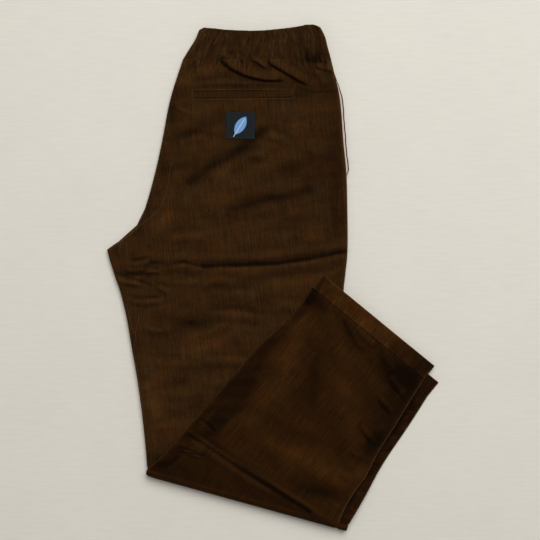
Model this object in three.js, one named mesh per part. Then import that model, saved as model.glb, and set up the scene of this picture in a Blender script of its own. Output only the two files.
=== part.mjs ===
import * as THREE from "three";

// Corduroy trousers with an elastic waistband, folded in half down the middle with the fronts inside,
// then folded back at the knee so that both lower legs lie slanting over the thigh.
// Lengths are millimetres. X runs across the thigh, Y up the leg to the waist, Z up from the table.
// "down" is a distance below the highest point of the waistband.

// Cloth and the layers of the folded stack
const cloth = 1.8;
const seamGap = 0.3;
const curl = 6; // width of the rounded edge of a panel
const stackTop = 9.8; // back, front, front and back on each other
const stackMiddle = stackTop / 2;
const bendRadius = 9.7; // outside of the knee fold
const frontInner = 2.7; // inner face of the two fronts on the table
const flapFrontInner = 5.2; // inner face of the one front in the flap
const bedHeight = 10.3; // underside of the lower legs over the thigh
const lowerLegDepth = 3.6; // right lower leg, back and front together
const droop = 70; // width over which the lower legs sink from the thigh to the table
const droopStart = 2;

// Heights where the edges of the panels end, above the table
const seatRimGap = 0.15;
const legRim = 6.5;
const sideRimFlap = 7.3; // measured from the middle of the knee fold
const inseamRimFlap = 5;

// Lengths of the garment
const waistTop = 367.6; // y of the highest point of the waistband
const waistSeam = 52;
const crotchDown = 327.7;
const kneeLeft = new THREE.Vector3(-181.5, -278.8, 0);
const kneeRight = new THREE.Vector3(96, -355.5, 0);
const hemDepth = 25;
const waistRise = 3;
const waistRiseLength = 60;
const crown = 1.2;
const crownEnd = 300;
const crownFade = 60;

// Waistband: one elastic ring, folded into four layers
const bandWall = 2.6;
const bandLayers = { leftBack: 1.3, leftFront: 4.7, rightFront: 8.1, rightBack: 12 };
const gatherCount = 36;
const gatherDepth = 0.9;

// Back pocket and patch, on the right back
const welt = { left: -113.5, right: 28.6, top: 272, height: 12, tilt: 1.2, rise: 1.5 };
const patch = { left: -67.1, right: -25, top: 239.3, bottom: 199.4, rise: 1 };
const layGap = 0.35;

// Side pocket mouths
const mouth = { top: 73, bottom: 220, reach: 4.5 };
const pocketLining = { inner: 0.4, outer: 3.2, low: 6.4, high: 7 };
const pocketEdge = { inner: 3.5, outer: 4.9, low: 6.4, high: 7.5 };

const table = (columns, ...lines) =>
  lines.map((line) => Object.fromEntries(columns.map((name, i) => [name, line[i]])));

// Edges of the upper legs
const seatCurve = table(["down", "x"],
  [52, -130], [76, -138.1], [99, -145.4], [122.5, -151.2], [169, -159.9], [215, -170],
  [262, -183], [285, -191.8], [296.5, -200.5], [308, -212.1], [320, -229.5], [crotchDown, -240.3]);
const inseam = table(["down", "x"],
  [crotchDown, -240.3], [343, -236], [366, -228.7], [389, -220.8], [424, -212.1], [470.5, -204.1],
  [517, -196], [563, -189.6], [610, -184.5], [646.4, -181.5]);
const sideSeam = table(["down", "x"],
  [52, 85.6], [72, 90.5], [99, 96.8], [122.5, 100], [169, 103.4], [215, 107.7], [262, 109.1],
  [330, 109.4], [366, 106], [389, 103.5], [450, 103.5], [600, 105], [735, 107]);

// Edges of the flap, from the knee fold to the hem seam
const flapInseam = table(["x", "y"],
  [-181.5, -278.8], [-161.3, -261], [-126.5, -223.3], [-87.4, -178.4], [-17.8, -98.6],
  [15.6, -68.2], [43.1, -37.7], [57.1, -15.6]);
const flapSide = table(["x", "y"],
  [96, -355.5], [104, -336], [121.4, -307.4], [134.5, -290], [153.3, -255.2], [178, -217.5],
  [199.7, -181.3], [220.2, -148.7]);
const leftHemCorners = table(["x", "y"], [72.9, 3.8], [236, -129.3]);

// Edges of the right lower leg, which shows beside the flap
const lowerInseam = table(["x", "y"], [-168, -282.5], [-112, -222], [-55, -155], [5, -90], [60, -37.2]);
const lowerSide = table(["x", "y"],
  [107.5, -358.7], [133, -321], [159.1, -275.5], [199.7, -215.3], [226.6, -173.1]);
const rightHemCorners = table(["x", "y"], [75.8, -17.8], [242.4, -153.7]);

// Waistband: its top edge across the visible layer, and its ends from top edge to seam
const bandTop = table(["share", "down"],
  [0, 9], [0.05, 5.5], [0.25, 8.5], [0.5, 9.5], [0.75, 5], [0.93, 0.3], [1, 5]);
const bandEnds = table(["share", "left", "right"],
  [0, -106.2, 69.2], [0.3, -111.3, 76.5], [0.65, -120.7, 80.8], [1, -130.1, 85.6]);

// Folds of the cloth. Each runs from its start past its middle to its end, and falls away over reach,
// and over a share of it (steep) on the side to the right of its run.
const foldColumns = ["x0", "y0", "x1", "y1", "x2", "y2", "height", "reach", "steep"];
const thighFolds = table(foldColumns,
  [-78, 322, -50, 288, 20, 285.5, 4.2, 12, 0.6],
  [-6, 312, 22, 295, 57, 277, 3.6, 11, 0.6],
  [-25, 312, -14, 308, -6, 302, 1.6, 8, 1],
  [-127, 283, -40, 290, 40, 282, 1.1, 13, 1],
  [-190, 20, -128, 32, -88, 11, 3.2, 17, 0.8],
  [-100, 8, -20, 4, 35, 22, 3.4, 18, 0.8],
  [25, 20, 65, 27, 106, 36, 3, 15, 0.8],
  [-90, -10, -50, 0, 5, -10, 1.2, 16, 1],
  [-125, 122, -98, 134, -52, 188, 1.4, 18, 1],
  [-228, 4, -210, 2, -192, 8, 1.6, 9, 1],
  [-184, 24, -180, 27, -176, 28, 1, 8, 1],
  [-209, -4, -190, -8, -170, -16, 1.4, 9, 1],
  [-206, -33, -182, -34, -160, -30, 1.3, 10, 1],
  [-190, -80, -120, -92, -60, -86, 1, 22, 1],
  [20, 165, 60, 150, 100, 158, 1, 20, 1]);
const flapFolds = table(foldColumns,
  [-132, -220, -25, -297, 74, -353, 3.6, 19, 0.8],
  [-100, -206, -84, -216, -66, -236, 1.3, 11, 1],
  [-134, -245, -118, -252, -98, -262, 1.2, 10, 1],
  [70, -60, 92, -96, 112, -150, 1.4, 18, 1],
  [150, -190, 165, -170, 170, -140, 1.2, 12, 1],
  [185, -180, 180, -165, 172, -150, 1, 9, 1],
  [-40, -170, 20, -190, 60, -240, 1, 24, 1],
  [75, -40, 100, -60, 112, -62, 1, 9, 1]);

// Sections of the layered edges: distance in from the edge, and height from the middle of the layers
const doubleEdge = table(["inset", "height"],
  [8, 2.6], [4, 2.25], [2.5, 1.35], [1.2, 1.1], [0.9, 0.6], [3.4, 0]);
const singleEdge = table(["inset", "height"],
  [8, 1.55], [4.5, 1.5], [2.6, 1.4], [1.1, 1.2], [0.6, 0.85], [0.5, 0.65],
  [0.6, 0.4], [0.9, 0.22], [1.8, 0.08], [3.6, 0], [8, 0]);
const twoPly = table(["inset", "share"],
  [5, 0], [1.5, 0.04], [0.3, 0.25], [1.6, 0.5], [0.3, 0.75], [1.5, 0.96], [5, 1]);

const up = new THREE.Vector3(0, 0, 1);
const downwards = new THREE.Vector3(0, 0, -1);
const mix = THREE.MathUtils.lerp;
const smooth = (t) => THREE.MathUtils.smoothstep(t, 0, 1);

// Value of one column where another has the given value, on a smooth curve through the rows
function along(rows, key, place, column) {
  const last = rows.length - 1;
  if (place <= rows[0][key]) return rows[0][column];
  if (place >= rows[last][key]) return rows[last][column];
  const i = rows.findIndex((row) => row[key] > place) - 1;
  const [a, b] = [rows[i], rows[i + 1]];
  const before = rows[Math.max(i - 1, 0)];
  const after = rows[Math.min(i + 2, last)];
  const span = b[key] - a[key];
  const t = (place - a[key]) / span;
  const slopeA = ((b[column] - before[column]) / (b[key] - before[key])) * span;
  const slopeB = ((after[column] - a[column]) / (after[key] - a[key])) * span;
  const rest = 1 - t;
  return (1 + 2 * t) * rest * rest * a[column] + t * rest * rest * slopeA
    + t * t * (3 - 2 * t) * b[column] - t * t * rest * slopeB;
}

const flatCurve = (rows) =>
  new THREE.CatmullRomCurve3(rows.map((row) => new THREE.Vector3(row.x, row.y, 0)), false, "centripetal");

// Closed mesh of points and faces, turned so that its faces point out
class Shell {
  points = [];
  faces = [];

  add(points) {
    const first = this.points.length;
    this.points.push(...points);
    return points.map((_, i) => first + i);
  }

  quad(a, b, c, d) {
    this.faces.push([a, b, c], [a, c, d]);
  }

  cap(row, corners) {
    this.faces.push(corners.map((i) => row[i]));
  }

  strips(rowsOfIndices, closed, flipped) {
    for (let r = 0; r + 1 < rowsOfIndices.length; r += 1) {
      const [row, next] = [rowsOfIndices[r], rowsOfIndices[r + 1]];
      const count = closed ? row.length : row.length - 1;
      for (let i = 0; i < count; i += 1) {
        const j = (i + 1) % row.length;
        if (flipped) this.faces.push([row[i], next[j], row[j]], [row[i], next[i], next[j]]);
        else this.quad(row[i], row[j], next[j], next[i]);
      }
    }
  }

  volume() {
    return this.faces.reduce((sum, [a, b, c]) => {
      const cross = new THREE.Vector3().crossVectors(this.points[b], this.points[c]);
      return sum + this.points[a].dot(cross) / 6;
    }, 0);
  }

  geometry() {
    const inward = this.volume() < 0;
    const order = this.faces.flatMap(([a, b, c]) => (inward ? [a, c, b] : [a, b, c]));
    const geometry = new THREE.BufferGeometry().setFromPoints(this.points);
    geometry.setIndex(order);
    geometry.computeVertexNormals();
    return geometry;
  }
}

// Wall between an outer and an inner sheet of the same rows and columns
function sheetWall(outer, inner) {
  const shell = new Shell();
  const a = outer.map((row) => shell.add(row));
  const b = inner.map((row) => shell.add(row));
  const last = a.length - 1;
  const side = a[0].length - 1;
  shell.strips(a, false, false);
  shell.strips(b, false, true);
  shell.strips([b[0], a[0]], false, false);
  shell.strips([a[last], b[last]], false, false);
  shell.strips([a.map((row) => row[0]), b.map((row) => row[0])], false, false);
  shell.strips([b.map((row) => row[side]), a.map((row) => row[side])], false, false);
  return shell.geometry();
}

// Solid through closed rings. Each ring has its points and the same points in its own plane.
function loft(rings) {
  const shell = new Shell();
  const rows = rings.map((ring) => shell.add(ring.points));
  shell.strips(rows, true, false);
  const last = rings.length - 1;
  const ends = THREE.ShapeUtils.triangulateShape(rings[0].plane, []);
  const farEnds = THREE.ShapeUtils.triangulateShape(rings[last].plane, []);
  const clockwise = THREE.ShapeUtils.isClockWise(rings[0].plane);
  ends.forEach(([a, b, c]) => shell.cap(rows[0], clockwise ? [a, b, c] : [a, c, b]));
  farEnds.forEach(([a, b, c]) => shell.cap(rows[last], clockwise ? [a, c, b] : [a, b, c]));
  return shell.geometry();
}

// Tube with a wall, through matching outer and inner rings
function tubeWall(outer, inner) {
  const shell = new Shell();
  const a = outer.map((ring) => shell.add(ring));
  const b = inner.map((ring) => shell.add(ring));
  const last = a.length - 1;
  shell.strips(a, true, false);
  shell.strips(b, true, true);
  shell.strips([b[0], a[0]], true, false);
  shell.strips([a[last], b[last]], true, false);
  return shell.geometry();
}

// Height that a table of folds adds at a place
function foldHeight(folds, x, y) {
  const steps = 14;
  let height = 0;
  for (const fold of folds) {
    let nearest = { distance: Infinity };
    for (let i = 0; i <= steps; i += 1) {
      const t = i / steps;
      const [a, b, c] = [(1 - t) * (1 - t), 2 * t * (1 - t), t * t];
      const dx = x - (a * fold.x0 + b * fold.x1 + c * fold.x2);
      const dy = y - (a * fold.y0 + b * fold.y1 + c * fold.y2);
      const distance = Math.hypot(dx, dy);
      if (distance < nearest.distance) nearest = { distance, t, dx, dy };
    }
    const runX = mix(fold.x1 - fold.x0, fold.x2 - fold.x1, nearest.t);
    const runY = mix(fold.y1 - fold.y0, fold.y2 - fold.y1, nearest.t);
    const onRight = runX * nearest.dy - runY * nearest.dx < 0;
    const share = nearest.distance / (fold.reach * (onRight ? fold.steep : 1));
    if (share >= 1) continue;
    const ends = smooth(nearest.t / 0.2 + 0.35) * smooth((1 - nearest.t) / 0.2 + 0.35);
    height += fold.height * ends * (1 - share * share) ** 2;
  }
  return height;
}

const thighLeft = (down) => along(down < crotchDown ? seatCurve : inseam, "down", down, "x");
const thighRight = (down) => along(sideSeam, "down", down, "x");

// Rows of the upper leg start level with the waist seam and end parallel with the knee fold
const leftLength = waistTop - kneeLeft.y - waistSeam;
const rightLength = waistTop - kneeRight.y - waistSeam;
const rightDown = (down) => waistSeam + ((down - waistSeam) * rightLength) / leftLength;

function thighRow(down, sideInset) {
  const far = rightDown(down);
  const right = thighRight(far) - sideInset * smooth((far - 380) / 340);
  return {
    left: new THREE.Vector3(thighLeft(down), waistTop - down, 0),
    right: new THREE.Vector3(right, waistTop - far, 0),
  };
}

// How far the top layers stand above the flat stack: crown, rise towards the waistband
function bodyLift(x, y) {
  const down = waistTop - y;
  const across = (x - thighLeft(down)) / (thighRight(down) - thighLeft(down));
  const round = Math.sin(Math.PI * THREE.MathUtils.clamp(across, 0, 1));
  const crownHere = crown * round * (1 - smooth((down - crownEnd) / crownFade));
  return crownHere + waistRise * (1 - smooth((down - waistSeam) / waistRiseLength));
}

const thighTop = (x, y) => stackTop + bodyLift(x, y) + foldHeight(thighFolds, x, y);

// Surface that the lower legs lie on: the thigh, then a slope down to the table
function bed(x, y) {
  const beyond = x - thighRight(waistTop - y) - droopStart;
  return bedHeight * (1 - smooth(beyond / droop));
}

// Outer and inner sheets of a panel. A row runs from its left to its right edge. The panel stands
// top above the row's base along its way out, and curls at both edges to the height of its rims.
const rimAngles = [0, 30, 60, 90].map(THREE.MathUtils.degToRad);

function panelSheets(rows, innerColumns) {
  const stops = [];
  rimAngles.forEach((angle) => stops.push({ side: "left", angle }));
  for (let i = 1; i < innerColumns; i += 1) stops.push({ side: "none", share: i / innerColumns });
  [...rimAngles].reverse().forEach((angle) => stops.push({ side: "right", angle }));
  const outer = [];
  const inner = [];
  for (const row of rows) {
    const width = row.left.distanceTo(row.right);
    const place = (distance, height) => {
      const point = row.left.clone().lerp(row.right, distance / width);
      point.z = row.base(point.x, point.y);
      return point.addScaledVector(row.out, height);
    };
    const top = (distance) => {
      const point = row.left.clone().lerp(row.right, distance / width);
      return row.top(point.x, point.y, distance, width - distance);
    };
    const outerRow = [];
    const innerRow = [];
    for (const stop of stops) {
      if (stop.side === "none") {
        const distance = mix(curl, width - curl, stop.share);
        outerRow.push(place(distance, top(distance)));
        innerRow.push(place(distance, top(distance) - cloth));
        continue;
      }
      const outIn = curl * (1 - Math.cos(stop.angle));
      const inIn = curl - (curl - cloth) * Math.cos(stop.angle);
      const rim = stop.side === "left" ? row.rimLeft : row.rimRight;
      const fromLeft = (inset) => (stop.side === "left" ? inset : width - inset);
      const rise = Math.sin(stop.angle);
      outerRow.push(place(fromLeft(outIn), mix(rim, top(fromLeft(outIn)), rise)));
      innerRow.push(place(fromLeft(inIn), mix(rim, top(fromLeft(inIn)) - cloth, rise)));
    }
    outer.push(outerRow);
    inner.push(innerRow);
  }
  return { outer, inner };
}

// Height of a back panel's left rim: at the seat seam the two backs meet, below it the fronts show
const seatRim = stackMiddle + seatRimGap;
const leftRim = (down) => mix(seatRim, legRim, smooth((down - crotchDown + 4) / 22));

function makeRightBack() {
  const stops = [
    52.3, 58, 64, 70, 77, 84, 92, 100, 110, 122, 135, 150, 165, 180, 196, 212, 228, 244, 260, 274, 286,
    297, 308, 318, crotchDown, 336, 346, 358, 370, 384, 400, 420, 445, 475, 510, 545, 580, 615, 643,
  ];
  const rows = stops.map((down) => ({
    ...thighRow(down, 0),
    out: up,
    base: () => 0,
    top: (x, y) => thighTop(x, y),
    rimLeft: leftRim(down),
    rimRight: legRim,
  }));
  const { outer, inner } = panelSheets(rows, 21);
  return sheetWall(outer, inner);
}

// Rows round the knee fold, from the table up and over on to the flap
function bendRow(share) {
  const angle = Math.PI * share;
  const outwards = new THREE.Vector3(kneeRight.y - kneeLeft.y, kneeLeft.x - kneeRight.x, 0).normalize();
  return {
    left: kneeLeft.clone(),
    right: kneeRight.clone(),
    out: outwards.multiplyScalar(Math.sin(angle)).addScaledVector(downwards, Math.cos(angle)),
    base: () => bendRadius,
  };
}

const inseamCurve = flatCurve(flapInseam);
const sideCurve = flatCurve(flapSide);
const flapBase = (x, y) => bed(x, y) + bendRadius - bedHeight;

function flapRow(share) {
  return {
    left: inseamCurve.getPointAt(share),
    right: sideCurve.getPointAt(share),
    out: up,
    base: flapBase,
  };
}

// The flap's inseam edge slopes down over a broad band
const edgeDip = (fromLeft) => 2 * (1 - smooth(fromLeft / 18));

const kneeSideInset = 11; // the left leg's side seam lies this far inside the right leg's at the knee
const legShift = stackTop - bendRadius; // turns a height on the upper leg into one on the lower

function makeLeftBack() {
  const stops = [
    52.3, 76, 98, 122, 150, 180, 210, 244, 275, 297, 310, crotchDown, 343, 362, 390, 432, 500, 570,
  ];
  const rows = stops.map((down) => ({
    ...thighRow(down, kneeSideInset),
    out: downwards,
    base: () => bendRadius,
    top: () => bendRadius,
    rimLeft: leftRim(down) - legShift,
    rimRight: legRim - legShift,
  }));
  const bendSteps = 7;
  for (let i = 0; i <= bendSteps; i += 1) {
    const share = i / bendSteps;
    const dip = share * share;
    rows.push({
      ...bendRow(share),
      top: (x, y, fromLeft) => bendRadius - dip * edgeDip(fromLeft),
      rimLeft: mix(legRim - legShift, inseamRimFlap, share),
      rimRight: mix(legRim - legShift, sideRimFlap, share),
    });
  }
  const flapSteps = 19;
  for (let i = 1; i <= flapSteps; i += 1) {
    rows.push({
      ...flapRow(i / flapSteps),
      top: (x, y, fromLeft) => bendRadius - edgeDip(fromLeft) + foldHeight(flapFolds, x, y),
      rimLeft: inseamRimFlap,
      rimRight: sideRimFlap,
    });
  }
  const { outer, inner } = panelSheets(rows, 20);
  return sheetWall(outer, inner);
}

// Both halves of a layered edge, from its outer face to its inner face
const mirrored = (rows) => [
  ...rows.map((row) => ({ inset: row.inset, height: row.height })),
  ...rows.slice(0, -1).reverse().map((row) => ({ inset: row.inset, height: -row.height })),
];

// Ring of a solid across one row: out along its outer face, round its right edge, back along its
// inner face and round its left edge
function edgeRing(row, rightEdge, leftEdge, innerColumns) {
  const width = row.left.distanceTo(row.right);
  const points = [];
  const plane = [];
  const put = (distance, height) => {
    const point = row.left.clone().lerp(row.right, distance / width);
    point.z = row.base(point.x, point.y);
    points.push(point.addScaledVector(row.out, height));
    plane.push(new THREE.Vector2(distance, height));
  };
  const face = (from, to, fromHeight, toHeight, isInner) => {
    for (let i = 1; i < innerColumns; i += 1) {
      const distance = mix(from, to, i / innerColumns);
      const point = row.left.clone().lerp(row.right, distance / width);
      const lift = isInner && row.innerLift ? row.innerLift(point.x, point.y) : 0;
      put(distance, mix(fromHeight, toHeight, i / innerColumns) - lift);
    }
  };
  const lastEdge = rightEdge.length - 1;
  face(leftEdge[0].inset, width - rightEdge[0].inset, leftEdge[0].height, rightEdge[0].height, false);
  rightEdge.forEach((stop) => put(width - stop.inset, stop.height));
  face(width - rightEdge[lastEdge].inset, leftEdge[lastEdge].inset,
    rightEdge[lastEdge].height, leftEdge[lastEdge].height, true);
  [...leftEdge].reverse().forEach((stop) => put(stop.inset, stop.height));
  return { points, plane };
}

// Edge of the fronts on the table (two layers) and in the flap (one layer), as heights from the
// middle of the knee fold
const frontMiddle = bendRadius - stackMiddle;
const tableEdge = mirrored(doubleEdge).map(({ inset, height }, i, all) => ({
  inset,
  height: i === all.length - 1 ? frontInner : frontMiddle + height,
}));
const flapEdge = singleEdge.map(({ inset, height }) => ({ inset, height: flapFrontInner + height }));
const blendEdge = (share, inset, tip) =>
  tableEdge.map((stop, i) => ({
    inset: mix(stop.inset, flapEdge[i].inset, share) + inset - (stop.inset < 1.3 ? tip : 0),
    height: mix(stop.height, flapEdge[i].height, share),
  }));

const mouthTip = (down) =>
  mouth.reach * smooth((down - mouth.top + 8) / 10) * smooth((mouth.bottom + 8 - down) / 10);

function makeFronts() {
  const seatInset = 5.5;
  const crotchInset = 15;
  const flapInset = 14;
  const columns = 8;
  const stops = [
    52.6, 66, 78, 110, 150, 190, 202, 212, 250, 285, 308, crotchDown, 336, 346, 358, 376, 400, 432,
    475, 540,
  ];
  const rings = stops.map((down) => {
    const nearCrotch = 1 - smooth(Math.abs(down - crotchDown) / 30);
    const aboveCrotch = down < crotchDown ? seatInset : 0;
    const inset = Math.max(aboveCrotch, crotchInset * nearCrotch);
    const row = {
      ...thighRow(down, kneeSideInset),
      out: downwards,
      base: () => bendRadius,
      innerLift: bodyLift,
    };
    const leftEdge = blendEdge(0, inset, 0);
    return edgeRing(row, blendEdge(0, 0, mouthTip(rightDown(down))), leftEdge, columns);
  });
  const bendSteps = 5;
  for (let i = 0; i <= bendSteps; i += 1) {
    const share = i / bendSteps;
    const leftEdge = blendEdge(share, flapInset * share, 0);
    rings.push(edgeRing(bendRow(share), blendEdge(share, 0, 0), leftEdge, columns));
  }
  const flapSteps = 13;
  for (let i = 1; i <= flapSteps; i += 1) {
    const edge = blendEdge(1, 0, 0);
    rings.push(edgeRing(flapRow(i / flapSteps), edge, blendEdge(1, flapInset, 0), columns));
  }
  return loft(rings);
}

// Edge of two plies, from the height of its outer face to that of its inner face
const plies = (outer, inner) =>
  twoPly.map(({ inset, share }) => ({ inset, height: mix(outer, inner, share) }));

function makeRightLowerLeg() {
  const left = flatCurve(lowerInseam);
  const right = flatCurve(lowerSide);
  const nose = table(["share", "depth"],
    [0, 0.3], [0.005, 0.75], [0.016, 1], [0.07, 1], [0.14, 1], [0.21, 1], [0.28, 1], [0.35, 1],
    [0.42, 1], [0.49, 1], [0.56, 1], [0.64, 1], [0.72, 1], [0.81, 1], [0.9, 1], [1, 1]);
  const rings = nose.map(({ share, depth }) => {
    const row = {
      left: left.getPointAt(share),
      right: right.getPointAt(share),
      out: up,
      base: bed,
    };
    const half = (lowerLegDepth * depth) / 2;
    const edge = plies(lowerLegDepth / 2 + half, lowerLegDepth / 2 - half);
    return edgeRing(row, edge, edge, 9);
  });
  return loft(rings);
}

// Turned-up hem of one leg: a flattened ring of doubled cloth
function makeHem(seamEnds, corners, low, high, hollow) {
  const [seamLeft, seamRight] = seamEnds.map(({ x, y }) => new THREE.Vector3(x, y, 0));
  const [edgeLeft, edgeRight] = corners.map(({ x, y }) => new THREE.Vector3(x, y, 0));
  const steps = 3;
  const middle = (low + high) / 2;
  const outerEdge = table(["inset", "height"],
    [5, high], [0.9, high - 0.6], [0, middle], [0.9, low + 0.6], [5, low]);
  const innerEdge = table(["inset", "height"],
    [7, middle + hollow / 2], [3.4, middle + hollow / 2], [2.2, middle],
    [3.4, middle - hollow / 2], [7, middle - hollow / 2]);
  const outer = [];
  const inner = [];
  for (let i = 0; i <= steps; i += 1) {
    const share = mix(seamGap / hemDepth, 1, i / steps);
    const row = {
      left: seamLeft.clone().lerp(edgeLeft, share),
      right: seamRight.clone().lerp(edgeRight, share),
      out: up,
      base: bed,
    };
    outer.push(edgeRing(row, outerEdge, outerEdge, 11).points);
    inner.push(edgeRing(row, innerEdge, innerEdge, 11).points);
  }
  return tubeWall(outer, inner);
}

// Middle line of the waistband's folded ring at one height of the band, as x and z
function bandLine(share) {
  const half = bandWall / 2;
  const left = along(bandEnds, "share", share, "left");
  const right = along(bandEnds, "share", share, "right");
  const { leftBack, leftFront, rightFront, rightBack } = bandLayers;
  const backTurn = (rightBack - leftBack) / 2;
  const sideTurn = (rightBack - rightFront) / 2;
  const frontTurn = (rightFront - leftFront) / 2;
  const leftSideTurn = (leftFront - leftBack) / 2;
  const backX = left + backTurn + half;
  const sideX = right - sideTurn - half;
  const frontX = backX + frontTurn;
  const line = [];
  const straight = (from, to, z, steps) => {
    for (let i = 0; i < steps; i += 1) line.push({ x: mix(from, to, (i + 0.5) / steps), z });
  };
  const turn = (x, z, radius, from, to, steps) => {
    for (let i = 0; i <= steps; i += 1) {
      const angle = THREE.MathUtils.degToRad(mix(from, to, i / steps));
      line.push({ x: x + radius * Math.cos(angle), z: z + radius * Math.sin(angle) });
    }
  };
  const depth = gatherDepth * mix(0.6, 1, smooth(share * 3));
  for (let i = 1; i < 2 * gatherCount; i += 1) {
    const wander = 0.22 * Math.sin(i * 2.1);
    const height = depth * (0.8 + 0.2 * Math.sin(i * 1.3)) * (i % 2 === 0 ? 1 : -1);
    line.push({ x: mix(backX, sideX, (i + wander) / (2 * gatherCount)), z: rightBack + height });
  }
  turn(sideX, (rightBack + rightFront) / 2, sideTurn, 90, -90, 4);
  straight(sideX, frontX, rightFront, 4);
  turn(frontX, (rightFront + leftFront) / 2, frontTurn, 90, 270, 4);
  straight(frontX, sideX, leftFront, 4);
  turn(sideX, (leftFront + leftBack) / 2, leftSideTurn, 90, -90, 4);
  straight(sideX, backX, leftBack, 4);
  turn(backX, (leftBack + rightBack) / 2, backTurn, 270, 90, 6);
  return line;
}

function makeWaistband() {
  const half = bandWall / 2;
  const outer = [];
  const inner = [];
  for (const share of [0, 0.18, 0.6, 0.88, 1]) {
    const line = bandLine(share);
    const left = along(bandEnds, "share", share, "left");
    const right = along(bandEnds, "share", share, "right");
    const offset = (side) =>
      line.map((point, i) => {
        const next = line[(i + 1) % line.length];
        const before = line[(i + line.length - 1) % line.length];
        const normal = new THREE.Vector2(before.z - next.z, next.x - before.x).normalize();
        const top = along(bandTop, "share", (point.x - left) / (right - left), "down");
        const y = waistTop - mix(top, waistSeam, share);
        return new THREE.Vector3(point.x + normal.x * half * side, y, point.z + normal.y * half * side);
      });
    outer.push(offset(1));
    inner.push(offset(-1));
  }
  return tubeWall(outer, inner);
}

// Thin piece that lies on the right back, over a patch of places with its own rounded rim
function laidPiece(place, columns, rows, rise) {
  const grid = (height) =>
    Array.from({ length: rows + 1 }, (_, r) =>
      Array.from({ length: columns + 1 }, (_, c) => {
        const { x, y } = place(c / columns, r / rows);
        const edge = Math.min(c, columns - c, r, rows - r) === 0;
        return new THREE.Vector3(x, y, thighTop(x, y) + layGap + (edge ? height * 0.7 : height));
      }));
  return sheetWall(grid(rise), grid(0));
}

function makeWelt() {
  const place = (across, below) => ({
    x: mix(welt.left, welt.right, across),
    y: welt.top - welt.height * below + welt.tilt * (across - 0.5),
  });
  return laidPiece(place, 18, 3, welt.rise);
}

function makePatch() {
  const place = (across, below) => ({
    x: mix(patch.left, patch.right, across),
    y: mix(patch.top, patch.bottom, below),
  });
  return laidPiece(place, 6, 6, patch.rise);
}

// Strip along a side pocket's mouth. "over" is the leg: 1 for the upper one, -1 for the one below.
function mouthStrip(strip, over) {
  const steps = 9;
  const rings = [];
  for (let i = 0; i <= steps; i += 1) {
    const down = mix(mouth.top, mouth.bottom, i / steps);
    const taper = mix(0.5, 1, Math.sin((Math.PI * i) / steps));
    const seam = thighRight(down);
    const [x0, x1] = [seam + strip.inner, seam + mix(strip.inner, strip.outer, taper)];
    const corners = [[x0, strip.low], [x1, strip.low], [x1, strip.high], [x0, strip.high]];
    const points = corners.map(([x, z]) =>
      new THREE.Vector3(x, waistTop - down, over > 0 ? z : stackTop - z));
    rings.push({ points, plane: corners.map(([x, z]) => new THREE.Vector2(x, z)) });
  }
  return loft(rings);
}

// Materials
const corduroy = (color) => new THREE.MeshStandardMaterial({ color, roughness: 0.92, metalness: 0 });
const cotton = (color) => new THREE.MeshStandardMaterial({ color, roughness: 0.85, metalness: 0 });

const pieces = [
  ["waistband", makeWaistband(), corduroy(0x3a2413)],
  ["right_back_panel", makeRightBack(), corduroy(0x3f2712)],
  ["left_back_panel", makeLeftBack(), corduroy(0x3b2411)],
  ["front_panels", makeFronts(), corduroy(0x2f1c0d)],
  ["right_leg_lower", makeRightLowerLeg(), corduroy(0x331e0d)],
  ["left_hem", makeHem([flapInseam.at(-1), flapSide.at(-1)], leftHemCorners, 4.5, 9.4, 0.6),
    corduroy(0x412813)],
  ["right_hem", makeHem([lowerInseam.at(-1), lowerSide.at(-1)], rightHemCorners, 0, 3.6, 0.4),
    corduroy(0x38210f)],
  ["back_pocket_welt", makeWelt(), corduroy(0x2c1a0c)],
  ["pocket_patch", makePatch(), cotton(0x252c33)],
  ["right_pocket_lining", mouthStrip(pocketLining, 1), cotton(0xd9cfc8)],
  ["right_pocket_edge", mouthStrip(pocketEdge, 1), corduroy(0x33200f)],
  ["left_pocket_lining", mouthStrip(pocketLining, -1), cotton(0xd9cfc8)],
  ["left_pocket_edge", mouthStrip(pocketEdge, -1), corduroy(0x33200f)],
];

const trousers = new THREE.Group();
for (const [name, geometry, material] of pieces) {
  const mesh = new THREE.Mesh(geometry, material);
  mesh.name = name;
  trousers.add(mesh);
}

// The origin is the middle of the underside
const box = new THREE.Box3().setFromObject(trousers);
const middle = box.getCenter(new THREE.Vector3());
trousers.position.set(-middle.x, -middle.y, -box.min.z);
trousers.updateMatrixWorld(true);

export default trousers;
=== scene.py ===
import math

import bmesh
import bpy
import numpy as np
from mathutils import Matrix, Vector
from mathutils.bvhtree import BVHTree


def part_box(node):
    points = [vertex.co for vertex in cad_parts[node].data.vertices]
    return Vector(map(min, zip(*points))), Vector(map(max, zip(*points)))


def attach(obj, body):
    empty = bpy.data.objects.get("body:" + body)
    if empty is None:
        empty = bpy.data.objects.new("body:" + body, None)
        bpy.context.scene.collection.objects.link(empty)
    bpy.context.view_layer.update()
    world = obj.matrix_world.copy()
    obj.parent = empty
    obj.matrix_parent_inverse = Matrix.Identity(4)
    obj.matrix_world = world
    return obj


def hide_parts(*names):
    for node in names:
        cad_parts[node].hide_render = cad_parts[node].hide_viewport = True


# Corduroy trousers, folded down the middle and again at the knee, lying on a pale floor.
# Tables and sizes are millimetres seen from above, x across the thigh and y up to the waist.
# "down" is a distance below the highest point of the waistband.

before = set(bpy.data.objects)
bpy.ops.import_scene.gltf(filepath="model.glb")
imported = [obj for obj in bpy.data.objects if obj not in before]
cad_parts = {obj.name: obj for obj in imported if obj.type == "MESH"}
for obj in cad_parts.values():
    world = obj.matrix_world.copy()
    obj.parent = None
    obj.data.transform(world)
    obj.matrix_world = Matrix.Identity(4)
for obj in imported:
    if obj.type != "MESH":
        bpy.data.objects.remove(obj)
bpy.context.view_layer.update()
print("frame loaded,", len(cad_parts), "solids")

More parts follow.
